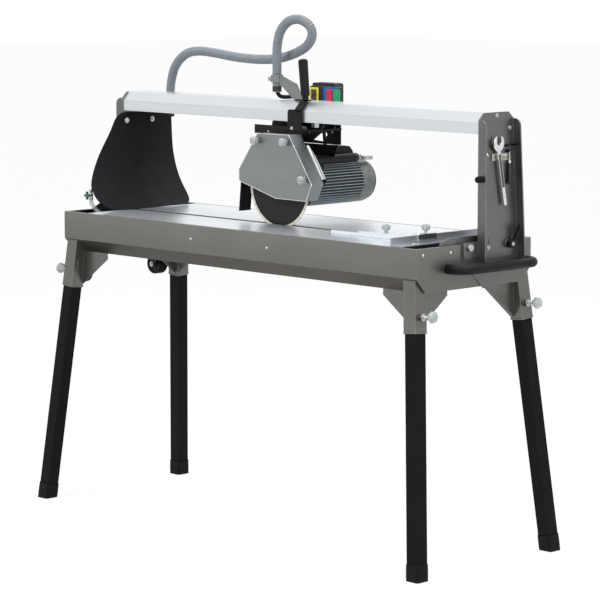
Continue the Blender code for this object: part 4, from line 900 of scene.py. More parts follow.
def make_water_details():
    floor = TUB_FLOOR
    bm = bmesh.new()
    prism(bm, rounded_rect(0.034, 0.045, 0.01, 6, PUMP), "z", floor + 0.001, floor + 0.061)
    for height in range(7):
        prism(bm, rounded_rect(0.0338, 0.0448, 0.01, 6, PUMP), "z", floor + 0.006 + 0.0042 * height, floor
              + 0.0078 + 0.0042 * height)
    prism(bm, rounded_rect(0.0215, 0.0275, 0.006, 5, PUMP), "z", floor + 0.0605, floor + 0.0735)
    lathe(bm, [(0, floor + 0.07), (0.0095, floor + 0.07), (0.0095, floor + 0.0765), (0.0082, floor + 0.08),
               (0, floor + 0.08)], "z", Vector((*PUMP, 0)), 28)
    case = finish_mesh("pump_case", bm, BLACK_PLASTIC, "stand", smooth=35, bevel=0.001)
    tap = Vector((-0.7365, -0.14, 0.948))
    route = catmull([(*PUMP, floor + 0.072), (-0.692, -0.112, floor + 0.087), (-0.706, -0.122, floor + 0.104),
                     (-0.722, -0.132, floor + 0.12), (-0.7335, -0.139, floor + 0.137),
                     tap - Vector((0, 0, 0.012)), tap - Vector((0, 0, 0.007))], 12)
    bm = bmesh.new()
    sweep(bm, route, [0.0064] * len(route), 24)
    tube = finish_mesh("water_hose", bm, CLEAR, "stand", smooth=80)
    for part in (case, tube):
        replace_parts(part, "water_pump")
    bm = bmesh.new()
    lathe(bm, [(0.0065, -0.0025), (0.0073, -0.0025), (0.0073, 0.0025), (0.0065, 0.0025)], "z", tap
          + Vector((0, 0, -0.01)), 28)
    finish_mesh("hose_clamp", bm, ZINC, "stand", smooth=40)
    profile = [(0, -0.0055), (0.0066, -0.0055), (0.007, -0.0045), (0.007, 0.0035), (0.0052, 0.0058),
               (0.005, 0.012), (0.0067, 0.013), (0.0067, 0.014), (0.0062, 0.0143), (0.0067, 0.015),
               (0.0062, 0.0157), (0.0067, 0.0165), (0.0062, 0.0172), (0.0067, 0.018), (0.0066, 0.0198),
               (0, 0.02)]
    bm = bmesh.new()
    lathe(bm, profile, "z", tap, 32)
    lathe(bm, [(0, -0.0121), (0.0036, -0.0121), (0.0044, -0.0112), (0.0045, 0.0), (0, 0.0)], "y", tap
          + Vector((0, 0, 0.001)), 24)
    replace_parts(finish_mesh("tap_body", bm, ZINC, "stand", smooth=40), "water_tap")
    bm = bmesh.new()
    middle = tap + Vector((0, -0.0125, 0.001))
    outline = []
    for turn in range(0, 360, 10):
        reach = 0.0095 + 0.0035 * cos(radians(4 * turn))
        outline.append((middle.x + 0.002 + reach * cos(radians(turn)), middle.z + reach * sin(radians(turn))))
    prism(bm, outline, "y", middle.y - 0.008, middle.y - 0.002)
    lathe(bm, [(0, -0.0086), (0.0028, -0.0086), (0.0034, -0.0078), (0.0055, -0.002), (0.0055, 0.0), (0, 0.0)],
          "y", middle, 24)
    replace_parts(finish_mesh("tap_handle_lever", bm, TEAL, "tap_handle", smooth=40, bevel=0.0006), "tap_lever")


def make_fence_details():
    bm = bmesh.new()
    outline = [(0.629, 0.9056), (0.6404, 0.9056), (0.6404, 0.9283), (0.6452, 0.9283), (0.6452, 0.909),
               (0.65, 0.909), (0.65, 0.9302), (0.6478, 0.9324), (0.6314, 0.9324), (0.629, 0.9302)]
    prism(bm, outline, "y", -0.122, -0.046)
    box(bm, (0.6, -0.097, 0.9056), (0.63, -0.073, 0.91))
    lathe(bm, [(0, 0.908), (0.004, 0.908), (0.004, 0.9213), (0.0075, 0.9213), (0.0075, 0.924), (0, 0.924)],
          "z", Vector((0.612, -0.085, 0)), 32)
    saddle = finish_mesh("rail_saddle", bm, POLISHED, "fence_saddle", smooth=35, bevel=0.0006)
    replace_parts(saddle, "fence_slide")
    bm = bmesh.new()
    lathe(bm, [(0, 0.9252), (0.0048, 0.9252), (0.007, 0.9238), (0, 0.9238)], "z", Vector((0.612, -0.085, 0)),
          24)
    finish_mesh("fence_pivot_cap", bm, ZINC, "fence_saddle", smooth=40)
    bm = bmesh.new()
    for step in range(12):
        x = 0.305 + 0.008 * step
        end = -0.093 if step % 5 else -0.087
        prism(bm, [(x, -0.105), (x + 0.0007, -0.105), (x + 0.0007, end), (x, end)], "z", 0.9153, 0.91562)
    finish_mesh("fence_marks", bm, DARK_ZINC, "fence_swing", smooth=30)
    bm = bmesh.new()
    for spot in (0.43, 0.55):
        dome_screw(bm, "z", Vector((spot, -0.085, 0.9211)), 0.004, 1)
    finish_mesh("fence_screws", bm, ZINC, "fence_swing", smooth=40)


make_stand_details()
make_transport_details()
make_water_details()
make_fence_details()


# ---------------------------------------------------------------- bridge details

def make_post_details():
    for label, side in SIDES.items():
        face = side * POST_FACE
        bm = bmesh.new()
        for y, z, size in ((0.079, 1.256, 0.0055), (0.135, 1.22, 0.0065), (0.022, 1.22, 0.0065)):
            hex_bolt(bm, "x", Vector((face, y, z)), size, side)
        dome_screw(bm, "x", Vector((face, 0.042, 1.148)), 0.005, side)
        hex_bolt(bm, "x", Vector((face, 0.049, 0.889)), 0.0055, side)
        finish_mesh(f"post_bolts_{label}", bm, ZINC, "bridge", smooth=40, bevel=0.0003)
        # painted shade: a thin black sheet for the shade inside the web's slit
        bm = bmesh.new()
        prism(bm, [(0.0485, 0.896), (0.0515, 0.896), (0.0515, 0.914), (0.05, 0.9156), (0.0485, 0.914)], "x",
              *sorted((side * 0.7568, side * 0.75715)))
        finish_mesh(f"post_slit_shade_{label}", bm, BLACK_PLASTIC, "bridge", smooth=30)
        bm = bmesh.new()
        lathe(bm, [(0.006, face), (0.0125, face), (0.0125, side * 0.7583), (0.006, side * 0.7583)], "x",
              LOCK_HUB, 28)
        finish_mesh(f"lock_washer_{label}", bm, ZINC, "bridge", smooth=40)
        make_tilt_lever(label, side)
    bm = bmesh.new()
    lathe(bm, [(0, 0.0066), (0.007, 0.0066), (0.0078, 0.005), (0.0092, 0.003), (0.0098, -0.002),
               (0.0094, -0.009), (0.0085, -0.013), (0.004, -0.015), (0, -0.0152)], "y",
          Vector((0.768, 0, 1.083)), 32)
    finish_mesh("post_bumper", bm, RUBBER, "bridge", smooth=50)


def make_tilt_lever(label, side):
    """Clamping lever: a round hub and a grip that leans back and outwards."""
    face = PROUD_FACE
    profile = [(0, 0.7506), (0.005, 0.7506), (0.005, face), (0.011, face), (0.0122, face + 0.003),
               (0.0122, face + 0.014), (0.0105, face + 0.017), (0, face + 0.018)]
    bm = bmesh.new()
    lathe(bm, [(radius, side * along) for radius, along in profile], "x", LOCK_HUB, 32)
    route = catmull([(side * 0.766, 0.134, 0.894), (side * 0.7685, 0.143, 0.901), (side * 0.774, 0.15, 0.923),
                     (side * 0.7815, 0.1565, 0.948)], 8)
    last = len(route) - 1
    radii = [0.0075 - 0.0015 * step / last for step in range(last + 1)]
    radii[-1] = 0.0035
    sweep(bm, route, radii, 20)
    lever = finish_mesh(f"tilt_grip_{label}", bm, BLACK, f"tilt_lock_{label}", smooth=50)
    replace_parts(lever, f"tilt_lever_{label}")
    bm = bmesh.new()
    lathe(bm, [(0, side * 0.775), (0.005, side * 0.775), (0.0058, side * 0.7764), (0, side * 0.7768)], "x",
          LOCK_HUB, 24)
    finish_mesh(f"lever_cap_{label}", bm, ZINC, f"tilt_lock_{label}", smooth=40)


def make_tools_details():
    """Chrome spanner and black-handled pin tool, held by a brass spring wire on a small clip plate."""
    face = PROUD_FACE
    bm = bmesh.new()
    prism(bm, rounded_rect(0.035, 0.01, 0.003, 4, (0.093, 1.14)), "x", face, face + 0.0028)
    plate = finish_mesh("tool_clip_plate", bm, ZINC, "bridge", bevel=0.0006)
    bm = bmesh.new()
    jaw = [(-0.007, -0.022), (-0.016, -0.017), (-0.022, -0.009), (-0.024, 0.002), (-0.0225, 0.013),
           (-0.018, 0.021), (-0.013, 0.0255), (-0.0085, 0.0262), (-0.0092, 0.014), (-0.0095, 0.004),
           (-0.005, -0.0015), (0.001, -0.003), (0.007, -0.0005), (0.0102, 0.005), (0.01, 0.015),
           (0.0095, 0.0262), (0.0145, 0.0255), (0.02, 0.02), (0.0232, 0.011), (0.0235, 0.001),
           (0.0205, -0.009), (0.014, -0.017), (0.0075, -0.021)]
    outline = [(0.076 + a * 0.9, 1.176 + b * 0.88) for a, b in jaw]
    outline += [(0.1105, 1.011), (0.1095, 1.006), (0.105, 1.0035), (0.1005, 1.005), (0.099, 1.009)]
    prism(bm, outline, "x", face + 0.007, face + 0.0128)
    spanner = finish_mesh("spanner", bm, zinc("chrome_tool", (0.74, 0.74, 0.74), (0.12, 0.24)), "bridge",
                          smooth=30, bevel=0.001, segments=3)
    # painted dark reflection: a dark strip along the spanner's chrome shank
    bm = bmesh.new()
    prism(bm, [(0.0735, 1.148), (0.0815, 1.15), (0.1, 1.056), (0.091, 1.055)], "x", face + 0.0126, face
          + 0.01305)
    finish_mesh("spanner_painted_reflection", bm, DARK_ZINC, "bridge", smooth=30)
    axis = Vector((face + 0.006, 0.1265, 0))
    bm = bmesh.new()
    lathe(bm, [(0, 1.062), (0.003, 1.062), (0.0045, 1.064), (0.0052, 1.068), (0.0052, 1.082),
               (0.0048, 1.0835), (0.0052, 1.085), (0.0052, 1.1), (0.0048, 1.1015), (0.0052, 1.103),
               (0.005, 1.118), (0.004, 1.121), (0, 1.121)], "z", axis, 24)
    handle = finish_mesh("pin_tool_handle", bm, BLACK_PLASTIC, "bridge", smooth=40)
    bm = bmesh.new()
    lathe(bm, [(0, 1.1212), (0.0048, 1.1212), (0.005, 1.1225), (0.005, 1.1275), (0.004, 1.129),
               (0.0027, 1.1292), (0.0027, 1.135), (0.0022, 1.1353), (0.0022, 1.154), (0.0012, 1.1548),
               (0, 1.155)], "z", axis, 24)
    rod = finish_mesh("pin_tool_rod", bm, ZINC, "bridge", smooth=40)
    for part in (plate, spanner, handle, rod):
        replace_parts(part, "hung_tools")
    bm = bmesh.new()
    route = catmull([(face + 0.004, 0.052, 1.152), (face + 0.011, 0.056, 1.15), (face + 0.015, 0.07, 1.147),
                     (face + 0.0152, 0.086, 1.144), (face + 0.014, 0.1, 1.14), (face + 0.013, 0.112, 1.137),
                     (face + 0.0135, 0.124, 1.138), (face + 0.011, 0.134, 1.14), (face + 0.004, 0.136, 1.14)],
                    10)
    sweep(bm, route, [0.0011] * len(route), 10)
    route = catmull([(face + 0.014, 0.1, 1.14), (face + 0.015, 0.106, 1.1345), (face + 0.013, 0.113, 1.132),
                     (face + 0.014, 0.12, 1.135)], 10)
    sweep(bm, route, [0.001] * len(route), 10)
    finish_mesh("tool_spring_wire", bm, BRASS, "bridge", smooth=80)
    bm = bmesh.new()
    for y in (0.062, 0.112):
        dome_screw(bm, "x", Vector((face + 0.0028, y, 1.14)), 0.0036, 1)
    finish_mesh("tool_clip_screws", bm, ZINC, "bridge", smooth=40)
    bm = bmesh.new()
    prism(bm, [(0.148, 1.17), (0.138, 1.171), (0.138, 1.1755), (0.148, 1.1745)], "x", POST_FACE, 0.783)
    box(bm, (POST_FACE, 0.11, 1.168), (0.766, 0.122, 1.174))
    box(bm, (POST_FACE, 0.118, 1.152), (0.765, 0.127, 1.16))
    finish_mesh("tool_strap", bm, RUBBER, "bridge", bevel=0.0006)


def make_beam_details():
    bm = bmesh.new()
    for y, z in ((0.0098, 1.2368), (0.0098, 1.212)):
        prism(bm, [(y, z - 0.0007), (y + 0.0006, z - 0.0007), (y + 0.0006, z + 0.0007), (y, z + 0.0007)], "x",
              -0.752, 0.752)
    finish_mesh("beam_front_lines", bm, BEAM, "bridge", smooth=30)
    centre = Vector((-0.705, 0.166, 1.228))
    bm = bmesh.new()
    lathe(bm, [(0.0154, -0.009), (0.018, -0.009), (0.0186, -0.008), (0.0186, 0.008), (0.018, 0.009),
               (0.0154, 0.009)], "z", centre, 40)
    prism(bm, [(-0.713, 0.1423), (-0.697, 0.1423), (-0.699, 0.15), (-0.711, 0.15)], "z", 1.219, 1.237)
    finish_mesh("hose_clip", bm, BLACK_PLASTIC, "bridge", smooth=40, bevel=0.0006)
    bm = bmesh.new()
    lathe(bm, [(0, 0.0), (0.014, 0.0), (0.014, -0.006), (0.0125, -0.008), (0.0125, -0.02), (0.0095, -0.023),
               (0, -0.023)], "z", Vector((-0.705, 0.166, 1.2048)), 36)
    finish_mesh("hose_end_gland", bm, BLACK_PLASTIC, "bridge", smooth=35, bevel=0.0006)


make_post_details()
make_tools_details()
make_beam_details()


# ---------------------------------------------------------------- carriage details

def make_grip():
    """Padded grip with finger ribs and a rounded end."""
    foot, top = Vector((0.052, 0.026, 1.2725)), Vector((0.04, 0.026, 1.392))
    direction = (top - foot).normalized()
    length = (top - foot).length
    points, radii = [], []
    steps = 180
    for step in range(steps + 1):
        along = length * step / steps
        if along < 0.0125:
            radius = 0.0098
        else:
            share = (along - 0.0125) / (length - 0.0125)
            radius = 0.0132 + 0.0014 * share - 0.0003 * (0.5 + 0.5 * cos(2 * pi * along / 0.004))
            radius = min(radius, 0.01 + (along - 0.0125) * 2.5)
            rest = length - along
            if rest < 0.006:
                radius *= (1 - (1 - rest / 0.006) ** 2 * 0.55)
        points.append(foot + direction * along)
        radii.append(radius)
    bm = bmesh.new()
    sweep(bm, points, radii, 36)
    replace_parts(finish_mesh("grip_sleeve", bm, GRIP, "carriage", smooth=50), "push_grip")


def make_carriage_plates():
    """Folded plates: front arm over the beam, deck, hangers, cheeks, web and rear plate."""
    bm = bmesh.new()
    prism(bm, [(-0.141, 0.0006), (0.058, 0.0006), (0.095, 0.03), (0.095, 0.134), (0.06, 0.134),
               (0.06, 0.1515), (-0.07, 0.1515), (-0.07, 0.134), (-0.141, 0.134)], "z", 1.18, 1.186)
    for low in (0.048, 0.099):
        prism(bm, [(-0.118, 1.182), (-0.058, 1.182), (-0.074, 1.2403), (-0.102, 1.2403)], "y", low, low
              + 0.005)
        prism(bm, [(0.04, 1.182), (0.094, 1.182), (0.106, 1.204), (0.141, 1.2403), (0.113, 1.2403),
                   (0.086, 1.214)], "y", low, low + 0.005)
    prism(bm, [(0.0005, 1.162), (0.05, 1.162), (0.0575, 1.172), (0.0575, 1.2435), (0.006, 1.2435),
               (0.0005, 1.2375)], "y", 0.001, 0.0065)
    prism(bm, [(0.001, 1.238), (0.0065, 1.238), (0.0065, 1.241), (0.03, 1.267), (0.044, 1.267),
               (0.044, 1.272), (0.028, 1.272), (0.001, 1.2435)], "x", 0.03, 0.0575)
    prism(bm, [(0.0005, 0.0285), (0.0575, 0.0285), (0.0575, 0.0438), (0.0005, 0.0438)], "z", 1.2671, 1.2719)
    box(bm, (-0.1408, 0.0007, 1.1665), (0.0003, 0.0045, 1.193))
    box(bm, (-0.07, 0.1473, 1.181), (0.06, 0.1516, 1.253))
    box(bm, (-0.1408, 0.1288, 1.185), (0.094, 0.1325, 1.1955))
    for low in (0.04, 0.104):
        prism(bm, [(-0.1408, 1.183), (-0.146, 1.15), (-0.151, 1.128), (-0.142, 1.112), (-0.118, 1.112),
                   (-0.108, 1.128), (-0.098, 1.183)], "y", low, low + 0.006)
    plate(bm, [(-0.1, 1.183), (-0.1, 1.156), (-0.08, 1.136), (0.094, 1.136), (0.094, 1.183)],
          [[(-0.02, 1.146), (0.022, 1.143), (0.04, 1.165), (0.034, 1.171), (0.01, 1.166)]], "y", 0.1285,
          0.133)
    lathe(bm, [(0, 1.184), (0.0044, 1.184), (0.0044, 1.2125), (0, 1.2125)], "z", Vector((0.07, 0.0593, 0)),
          24)
    lathe(bm, [(0, -0.043), (0.012, -0.043), (0.012, -0.0353), (0.0075, -0.0353), (0.0075, 0.0353),
               (0.012, 0.0353), (0.012, 0.042), (0, 0.042)], "y", Vector((-0.13, 0.075, 1.13)), 32)
    frame_plates = finish_mesh("carriage_plates", bm, BLACK, "carriage", smooth=30, bevel=0.0008)
    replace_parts(frame_plates, "carriage_frame")


def make_carriage_details():
    bm = bmesh.new()
    hex_bolt(bm, "y", Vector((0.0196, 0.0012, 1.188)), 0.0098, -1, washer=False, depth=0.26)
    hex_bolt(bm, "y", Vector((-0.08, 0.0009, 1.1745)), 0.0056, -1, washer=False, depth=0.3)
    finish_mesh("arm_bolts", bm, ZINC, "carriage", smooth=40, bevel=0.0003)
    bm = bmesh.new()
    for x in (0.006, 0.024):
        hex_bolt(bm, "z", Vector((x, 0.0375, 1.2756)), 0.0048, 1)
    hex_bolt(bm, "y", Vector((-0.1055, 0.0318, 1.328)), 0.0046, -1)
    finish_mesh("cable_arm_bolts", bm, ZINC, "carriage", smooth=40, bevel=0.0003)
    bm = bmesh.new()
    for x in (-0.088, 0.127):
        for y, sense in ((0.0479, -1), (0.1041, 1)):
            lathe(bm, [(0, sense * 0.0056), (0.0046, sense * 0.0056), (0.0054, sense * 0.0046),
                       (0.0076, sense * 0.004), (0.0076, 0), (0, 0)], "y", Vector((x, y, 1.2303)), 28)
    finish_mesh("axle_caps", bm, ZINC, "carriage", smooth=40)
    bm = bmesh.new()
    for y, sense in ((0.0319, -1), (0.1171, 1)):
        hex_bolt(bm, "y", Vector((-0.13, y, 1.13)), 0.009, sense, depth=0.5)
    finish_mesh("hinge_nuts", bm, ZINC, "carriage", smooth=40, bevel=0.0003)
    bm = bmesh.new()
    for x, z in ((-0.034, 1.17), (0.062, 1.174)):
        hex_bolt(bm, "y", Vector((x, 0.1283, z)), 0.0042, -1)
    finish_mesh("web_bolts", bm, ZINC, "carriage", smooth=40, bevel=0.0002)
    bm = bmesh.new()
    route = catmull([(-0.08, 0.036, 1.294), (-0.077, 0.037, 1.286), (-0.071, 0.042, 1.2775),
                     (-0.068, 0.062, 1.2745), (-0.074, 0.11, 1.275), (-0.086, 0.158, 1.2775),
                     (-0.084, 0.184, 1.279), (-0.074, 0.19, 1.279), (-0.066, 0.19, 1.279)], 8)
    sweep(bm, route, [0.006] * len(route), 18)
    finish_mesh("switch_lead", bm, RUBBER, "carriage", smooth=80)
    bm = bmesh.new()
    lathe(bm, [(0, 0.0), (0.0085, 0.0), (0.0085, 0.005), (0.0075, 0.006), (0.0062, 0.011), (0, 0.011)], "x",
          Vector((-0.079, 0.19, 1.279)), 28)
    lathe(bm, [(0.0053, -0.006), (0.011, -0.006), (0.0138, -0.003), (0.0138, 0.012), (0.0053, 0.012)], "z",
          Vector((-0.08, 0.036, 1.296)), 32)
    finish_mesh("lead_glands", bm, BLACK_PLASTIC, "carriage", smooth=35, bevel=0.0004)


def make_switch_details():
    bm = bmesh.new()
    prism(bm, rounded_rect(0.0595, 0.032, 0.004, 6, (0.0, 1.273)), "y", 0.1524, 0.1718)
    switch = finish_mesh("switch_body", bm, BLACK_PLASTIC, "carriage", smooth=40, bevel=0.001)
    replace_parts(switch, "switch_housing")
    bm = bmesh.new()
    prism(bm, rounded_rect(0.03, 0.03, 0.003, 5, (0.029, 1.2735)), "y", 0.1515, 0.153)
    finish_mesh("switch_front", bm, BLUE, "carriage", smooth=40, bevel=0.0005)
    bm = bmesh.new()
    prism(bm, rounded_rect(0.044, 0.032, 0.005, 6, (-0.02, 1.278)), "y", 0.208, 0.2096)
    prism(bm, rounded_rect(0.0488, 0.0368, 0.0065, 6, (-0.02, 1.278)), "y", 0.1975, 0.199)
    finish_mesh("box_lid", bm, BLACK_PLASTIC, "carriage", smooth=40, bevel=0.0005)
    bm = bmesh.new()
    for a in (-1, 1):
        for b in (-1, 1):
            dome_screw(bm, "y", Vector((-0.02 + a * 0.0385, 0.2096, 1.278 + b * 0.0265)), 0.0026, 1)
    finish_mesh("box_screws", bm, ZINC, "carriage", smooth=40)
    bm = bmesh.new()
    outer = rounded_rect(0.018, 0.0265, 0.003, 5, (-0.0395, 1.2745))
    inner = rounded_rect(0.0125, 0.0205, 0.002, 5, (-0.0395, 1.2745))
    band(bm, "y", ((outer, 0.1522), (outer, 0.1494), (inner, 0.149), (inner, 0.1522)))
    finish_mesh("switch_bezel", bm, YELLOW, "carriage", smooth=40, bevel=0.0004)
    bm = bmesh.new()
    prism(bm, rounded_rect(0.0123, 0.0203, 0.002, 5, (-0.0395, 1.2745)), "y", 0.1512, 0.1522)
    finish_mesh("switch_window", bm, moulded("window_plastic", (0.085, 0.05, 0.03), (0.06, 0.12)), "carriage")
    bm = bmesh.new()
    prism(bm, rounded_rect(0.015, 0.0318, 0.003, 5, (-0.039, 1.274)), "y", 0.1519, 0.15225)
    finish_mesh("switch_mask", bm, BLACK_PLASTIC, "carriage", smooth=40)
    bm = bmesh.new()
    for middle, half in ((0.026, 0.0135), (0.053, 0.012)):
        outline = rounded_rect(half, 0.024, 0.003, 5, (middle, 1.277))
        inside = rounded_rect(half - 0.0012, 0.0228, 0.0025, 5, (middle, 1.277))
        band(bm, "y", ((outline, 0.1524), (outline, 0.1512), (inside, 0.1512), (inside, 0.1524)))
    finish_mesh("button_frames", bm, BLUE, "carriage", smooth=40, bevel=0.0002)
    for name, body, look, middle, half in (("stop_cap", "stop_key", RED, 0.026, 0.0113),
                                           ("start_cap", "start_key", GREEN, 0.053, 0.0098)):
        bm = bmesh.new()
        prism(bm, rounded_rect(half, 0.0208, 0.003, 6, (middle, 1.277)), "y", 0.1484, 0.1596)
        cap = finish_mesh(name, bm, look, body, smooth=40, bevel=0.0012, segments=3)
        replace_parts(cap, f"{name[:-4]}_button")
    bm = bmesh.new()
    for x in (-0.052, -0.03, 0.006):
        lathe(bm, [(0, 1.23), (0.0062, 1.23), (0.0072, 1.234), (0.0072, 1.236), (0.0088, 1.2365),
                   (0.0088, 1.2422), (0, 1.2422)], "z", Vector((x, 0.19, 0)), 28)
    finish_mesh("box_glands", bm, BLACK_PLASTIC, "carriage", smooth=35, bevel=0.0004)


make_grip()
make_carriage_plates()
make_carriage_details()
make_switch_details()


# ---------------------------------------------------------------- head details

def make_motor_details():
    axis = MOTOR_AXIS
    bm = bmesh.new()
    fins, root, tip = 44, 0.059, 0.0658
    outer = []
    for fin in range(fins):
        for share, radius in ((0.0, root), (0.26, root), (0.36, tip), (0.52, tip), (0.62, root), (0.8, root)):
            turn = 2 * pi * (fin + share) / fins
            outer.append((radius * cos(turn), radius * sin(turn)))
    bore = [(0.045 * a / (a * a + b * b) ** 0.5, 0.045 * b / (a * a + b * b) ** 0.5) for a, b in outer]
    band(bm, "y", ((outer, 0.045), (outer, 0.2598), (bore, 0.2598), (bore, 0.045)), axis)
    lathe(bm, [(0.044, 0.0446), (0.061, 0.0446), (0.0632, 0.0462), (0.0632, 0.064), (0.0615, 0.066),
               (0.044, 0.066)], "y", axis, 64)
    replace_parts(finish_mesh("motor_fins", bm, MOTOR, "head", smooth=30), "motor_body")
    bm = bmesh.new()
    lathe(bm, [(0.044, 0.259), (0.063, 0.259), (0.065, 0.2605), (0.065, 0.299), (0.064, 0.304),
               (0.0606, 0.3127), (0.057, 0.3127), (0.057, 0.277), (0.044, 0.277)], "y", axis, 96)
    finish_mesh("motor_cowl", bm, COWL, "head", smooth=40)
    bm = bmesh.new()
    outline = [(0.15, 1.07), (0.258, 1.07), (0.258, 1.089), (0.253, 1.1), (0.246, 1.112), (0.235, 1.124),
               (0.222, 1.126), (0.199, 1.128), (0.15, 1.122)]
    prism(bm, outline, "x", -0.02, 0.03)
    finish_mesh("terminal_cover", bm, BLACK, "head", smooth=50, bevel=0.003, segments=3)
    bm = bmesh.new()
    prism(bm, [(-0.085, 1.082), (0.04, 1.082), (0.06, 1.094), (0.078, 1.134), (-0.07, 1.134), (-0.085, 1.13)],
          "y", 0.1345, 0.1385)
    finish_mesh("head_web", bm, BLACK, "head", smooth=30, bevel=0.0012)
    bm = bmesh.new()
    profile = [(0.05, 0.3133), (0.0595, 0.3133), (0.0602, 0.3143), (0.0602, 0.3165), (0.057, 0.3205),
               (0.0535, 0.3222), (0.05, 0.3222)]
    lathe(bm, profile, "y", axis, 64)
    for radius in (0.018, 0.025, 0.032, 0.039, 0.0455):
        wire = [(radius + 0.0013 * cos(radians(a)), 0.3195 + 0.0013 * sin(radians(a)))
                for a in range(0, 360, 60)]
        lathe(bm, wire, "y", axis, 64)
    lathe(bm, [(0, 0.3165), (0.013, 0.3165), (0.013, 0.321), (0.011, 0.322), (0, 0.322)], "y", axis, 40)
    for spoke in range(6):
        outline = around([(0.011, -0.0018), (0.051, -0.0018), (0.051, 0.0018), (0.011, 0.0018)],
                         pi * spoke / 3, (0, AXIS_Z))
        prism(bm, outline, "y", 0.317, 0.3192)
    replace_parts(finish_mesh("fan_grille", bm, BLACK_PLASTIC, "head", smooth=40),
                "fan_cover")
    bm = bmesh.new()
    lathe(bm, [(0, 0.2303), (0.01, 0.2303), (0.0125, 0.233), (0.0133, 0.238), (0.0118, 0.243), (0.007, 0.246),
               (0, 0.2465)], "y", Vector((0.05, 0, 1.092)), 36)
    finish_mesh("barrel_cap", bm, BLACK_PLASTIC, "head", smooth=50)
    bm = bmesh.new()
    prism(bm, rounded_rect(0.009, 0.031, 0.004, 4, (0.042, 0.283)), "z", 1.081, 1.092)
    prism(bm, rounded_rect(0.0235, 0.007, 0.003, 4, (0.0385, 0.269)), "z", 1.084, 1.094)
    finish_mesh("depth_stop", bm, STOP, "head", smooth=40, bevel=0.0012)
    bm = bmesh.new()
    hex_bolt(bm, "z", Vector((0.042, 0.269, 1.0942)), 0.0052, 1)
    finish_mesh("stop_bolt", bm, ZINC, "head", smooth=40, bevel=0.0003)
    bm = bmesh.new()
    lathe(bm, [(0, 1.074), (0.009, 1.074), (0.009, 1.083), (0.0075, 1.084), (0.0062, 1.091), (0, 1.091)], "z",
          Vector((-0.03, 0.19, 0)), 28)
    finish_mesh("motor_gland", bm, BLACK_PLASTIC, "head", smooth=35, bevel=0.0004)
    bm = bmesh.new()
    route = catmull([(-0.03, 0.19, 1.084), (-0.03, 0.19, 1.1), (-0.036, 0.194, 1.13), (-0.046, 0.2, 1.165),
                     (-0.044, 0.199, 1.2), (-0.033, 0.192, 1.224), (-0.03, 0.19, 1.238)], 10)
    sweep(bm, route, [0.0052] * len(route), 18)
    lead = finish_mesh("motor_lead", bm, RUBBER, None, smooth=80)
    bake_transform(lead)


def make_guard_back():
    """Back plate of the guard with its round opening, and the three posts that hold the cover."""
    middle = Vector((sum(a for a, b in GUARD) / len(GUARD), sum(b for a, b in GUARD) / len(GUARD)))
    outline = [tuple(middle + (Vector(point) - middle) * 0.972) for point in GUARD]
    opening = [(0.04 * cos(radians(turn)), AXIS_Z + 0.04 * sin(radians(turn))) for turn in range(0, 360, 10)]
    bm = bmesh.new()
    plate(bm, outline, [opening], "y", -0.006, -0.004)
    for x, z in GUARD_KNOBS.values():
        lathe(bm, [(0, -0.054), (0.0042, -0.054), (0.0042, -0.0045), (0, -0.0045)], "y", Vector((x, 0, z)),
              20)
    back = finish_mesh("guard_back", bm, GUARD_SHEET, "head", smooth=35)
    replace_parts(back, "guard_housing")


def make_guard_details():
    start, end = Vector((0.079, 0.0065, 1.1375)), Vector((0.144, 0.0065, 1.04))
    points = [start.lerp(end, step / 24) for step in range(25)]
    bm = bmesh.new()
    sweep(bm, points, [0.0075 + 0.003 * min(step / 8, 1.0) for step in range(25)], 32)
    finish_mesh("guard_bar", bm, POLISHED, "head", smooth=60)
    bm = bmesh.new()
    tail = (end - start).normalized() * 0.0085
    sweep(bm, [end, end + tail * 0.3, end + tail], [0.0112, 0.0112, 0.0095], 32)
    finish_mesh("guard_bar_end", bm, RUBBER, "head", smooth=40, bevel=0.0008)
    edge = [Vector((a, -0.0556, b)) for a, b in GUARD]
    bm = bmesh.new()
    for here, there in zip(edge, edge[1:] + edge[:1]):
        points = [here.lerp(there, step / 8) for step in range(9)]
        sweep(bm, points, [0.0011] * 9, 8)
    for point in edge:
        bmesh.ops.create_icosphere(bm, subdivisions=2, radius=0.0012, matrix=Matrix.Translation(point))
    finish_mesh("guard_folded_edge", bm, POLISHED, "head", smooth=80)


def make_blade_details():
    bm = bmesh.new()
    lathe(bm, [(0, -0.0215), (0.006, -0.0215), (0.0082, -0.02), (0.0082, -0.008), (0, -0.008)], "y",
          Vector((0, -0.029, AXIS_Z)), 32)
    finish_mesh("arbor_end", bm, ZINC, "arbor", smooth=40)
    bm = bmesh.new()
    for spoke in range(24):
        outline = around([(0.1172, -0.0005), (0.12515, -0.0005), (0.12515, 0.0005), (0.1172, 0.0005)],
                         2 * pi * spoke / 24, (0, AXIS_Z))
        outline = [(min(max(a, -0.125), 0.125), b) for a, b in outline]
        prism(bm, outline, "y", -0.03124, -0.02876)
    finish_mesh("blade_rim_marks", bm, DARK_ZINC, "arbor", smooth=30)


make_motor_details()
make_guard_back()
make_guard_details()
make_blade_details()


# ---------------------------------------------------------------- floor, light and world

def background_rays(tree):
    """1 for the rays that see the plain background: camera, glossy and transmission rays."""
    path = tree.nodes.new("ShaderNodeLightPath")
    value = path.outputs["Is Camera Ray"]
    for kind in ("Is Glossy Ray", "Is Transmission Ray"):
        larger = tree.nodes.new("ShaderNodeMath")
        larger.operation = "MAXIMUM"
        tree.links.new(value, larger.inputs[0])
        tree.links.new(path.outputs[kind], larger.inputs[1])
        value = larger.outputs[0]
    return value


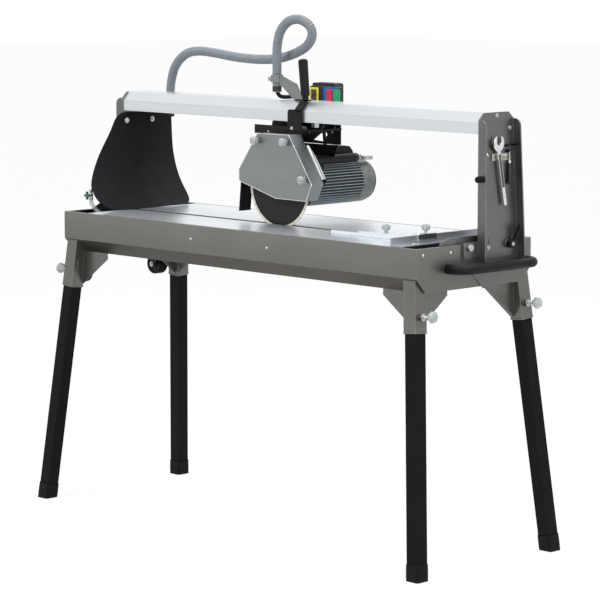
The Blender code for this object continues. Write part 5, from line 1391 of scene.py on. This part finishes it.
def make_stage():
    bm = bmesh.new()
    bmesh.ops.create_grid(bm, x_segments=1, y_segments=1, size=30)
    mesh = bpy.data.meshes.new("floor")
    bm.to_mesh(mesh)
    bm.free()
    floor = bpy.data.objects.new("floor", mesh)
    bpy.context.scene.collection.objects.link(floor)
    floor.location.z = -0.0005
    look = bpy.data.materials.new("floor_white")
    look.use_nodes = True
    tree = look.node_tree
    shader = tree.nodes["Principled BSDF"]
    shader.inputs["Base Color"].default_value = (0.92, 0.92, 0.92, 1)
    shader.inputs["Roughness"].default_value = 0.9
    shader.inputs["Specular IOR Level"].default_value = 0.0
    white = tree.nodes.new("ShaderNodeEmission")
    share = tree.nodes.new("ShaderNodeMath")
    share.operation = "MULTIPLY"
    share.inputs[1].default_value = 0.92
    mix = tree.nodes.new("ShaderNodeMixShader")
    tree.links.new(background_rays(tree), share.inputs[0])
    tree.links.new(share.outputs[0], mix.inputs[0])
    tree.links.new(shader.outputs[0], mix.inputs[1])
    tree.links.new(white.outputs[0], mix.inputs[2])
    tree.links.new(mix.outputs[0], tree.nodes["Material Output"].inputs["Surface"])
    mesh.materials.append(look)


def area_light(name, location, target, size, power):
    data = bpy.data.lights.new(name, "AREA")
    data.shape = "RECTANGLE"
    data.size, data.size_y = size
    data.energy = power
    lamp = bpy.data.objects.new(name, data)
    bpy.context.scene.collection.objects.link(lamp)
    lamp.location = location
    lamp.rotation_euler = (Vector(target) - Vector(location)).to_track_quat("-Z", "Y").to_euler()


def make_world():
    world = bpy.data.worlds.new("studio")
    bpy.context.scene.world = world
    world.use_nodes = True
    tree = world.node_tree
    back = tree.nodes["Background"]
    back.inputs["Color"].default_value = (0.93, 0.96, 1.0, 1)
    back.inputs["Strength"].default_value = 0.75
    white = tree.nodes.new("ShaderNodeBackground")
    white.inputs["Color"].default_value = (1, 1, 1, 1)
    white.inputs["Strength"].default_value = 1.0
    mix = tree.nodes.new("ShaderNodeMixShader")
    tree.links.new(background_rays(tree), mix.inputs[0])
    tree.links.new(back.outputs[0], mix.inputs[1])
    tree.links.new(white.outputs[0], mix.inputs[2])
    tree.links.new(mix.outputs[0], tree.nodes["World Output"].inputs["Surface"])


make_stage()
make_world()
area_light("key", (-1.5, -4.5, 4.5), (0, 0, 0.9), (3.0, 2.0), 190)
area_light("fill", (5.0, -1.0, 3.0), (0, 0, 0.9), (2.5, 2.5), 110)
area_light("top", (0.5, 1.0, 5.0), (0, 0, 0.9), (4.0, 3.0), 200)

bpy.context.scene.view_settings.view_transform = "Standard"
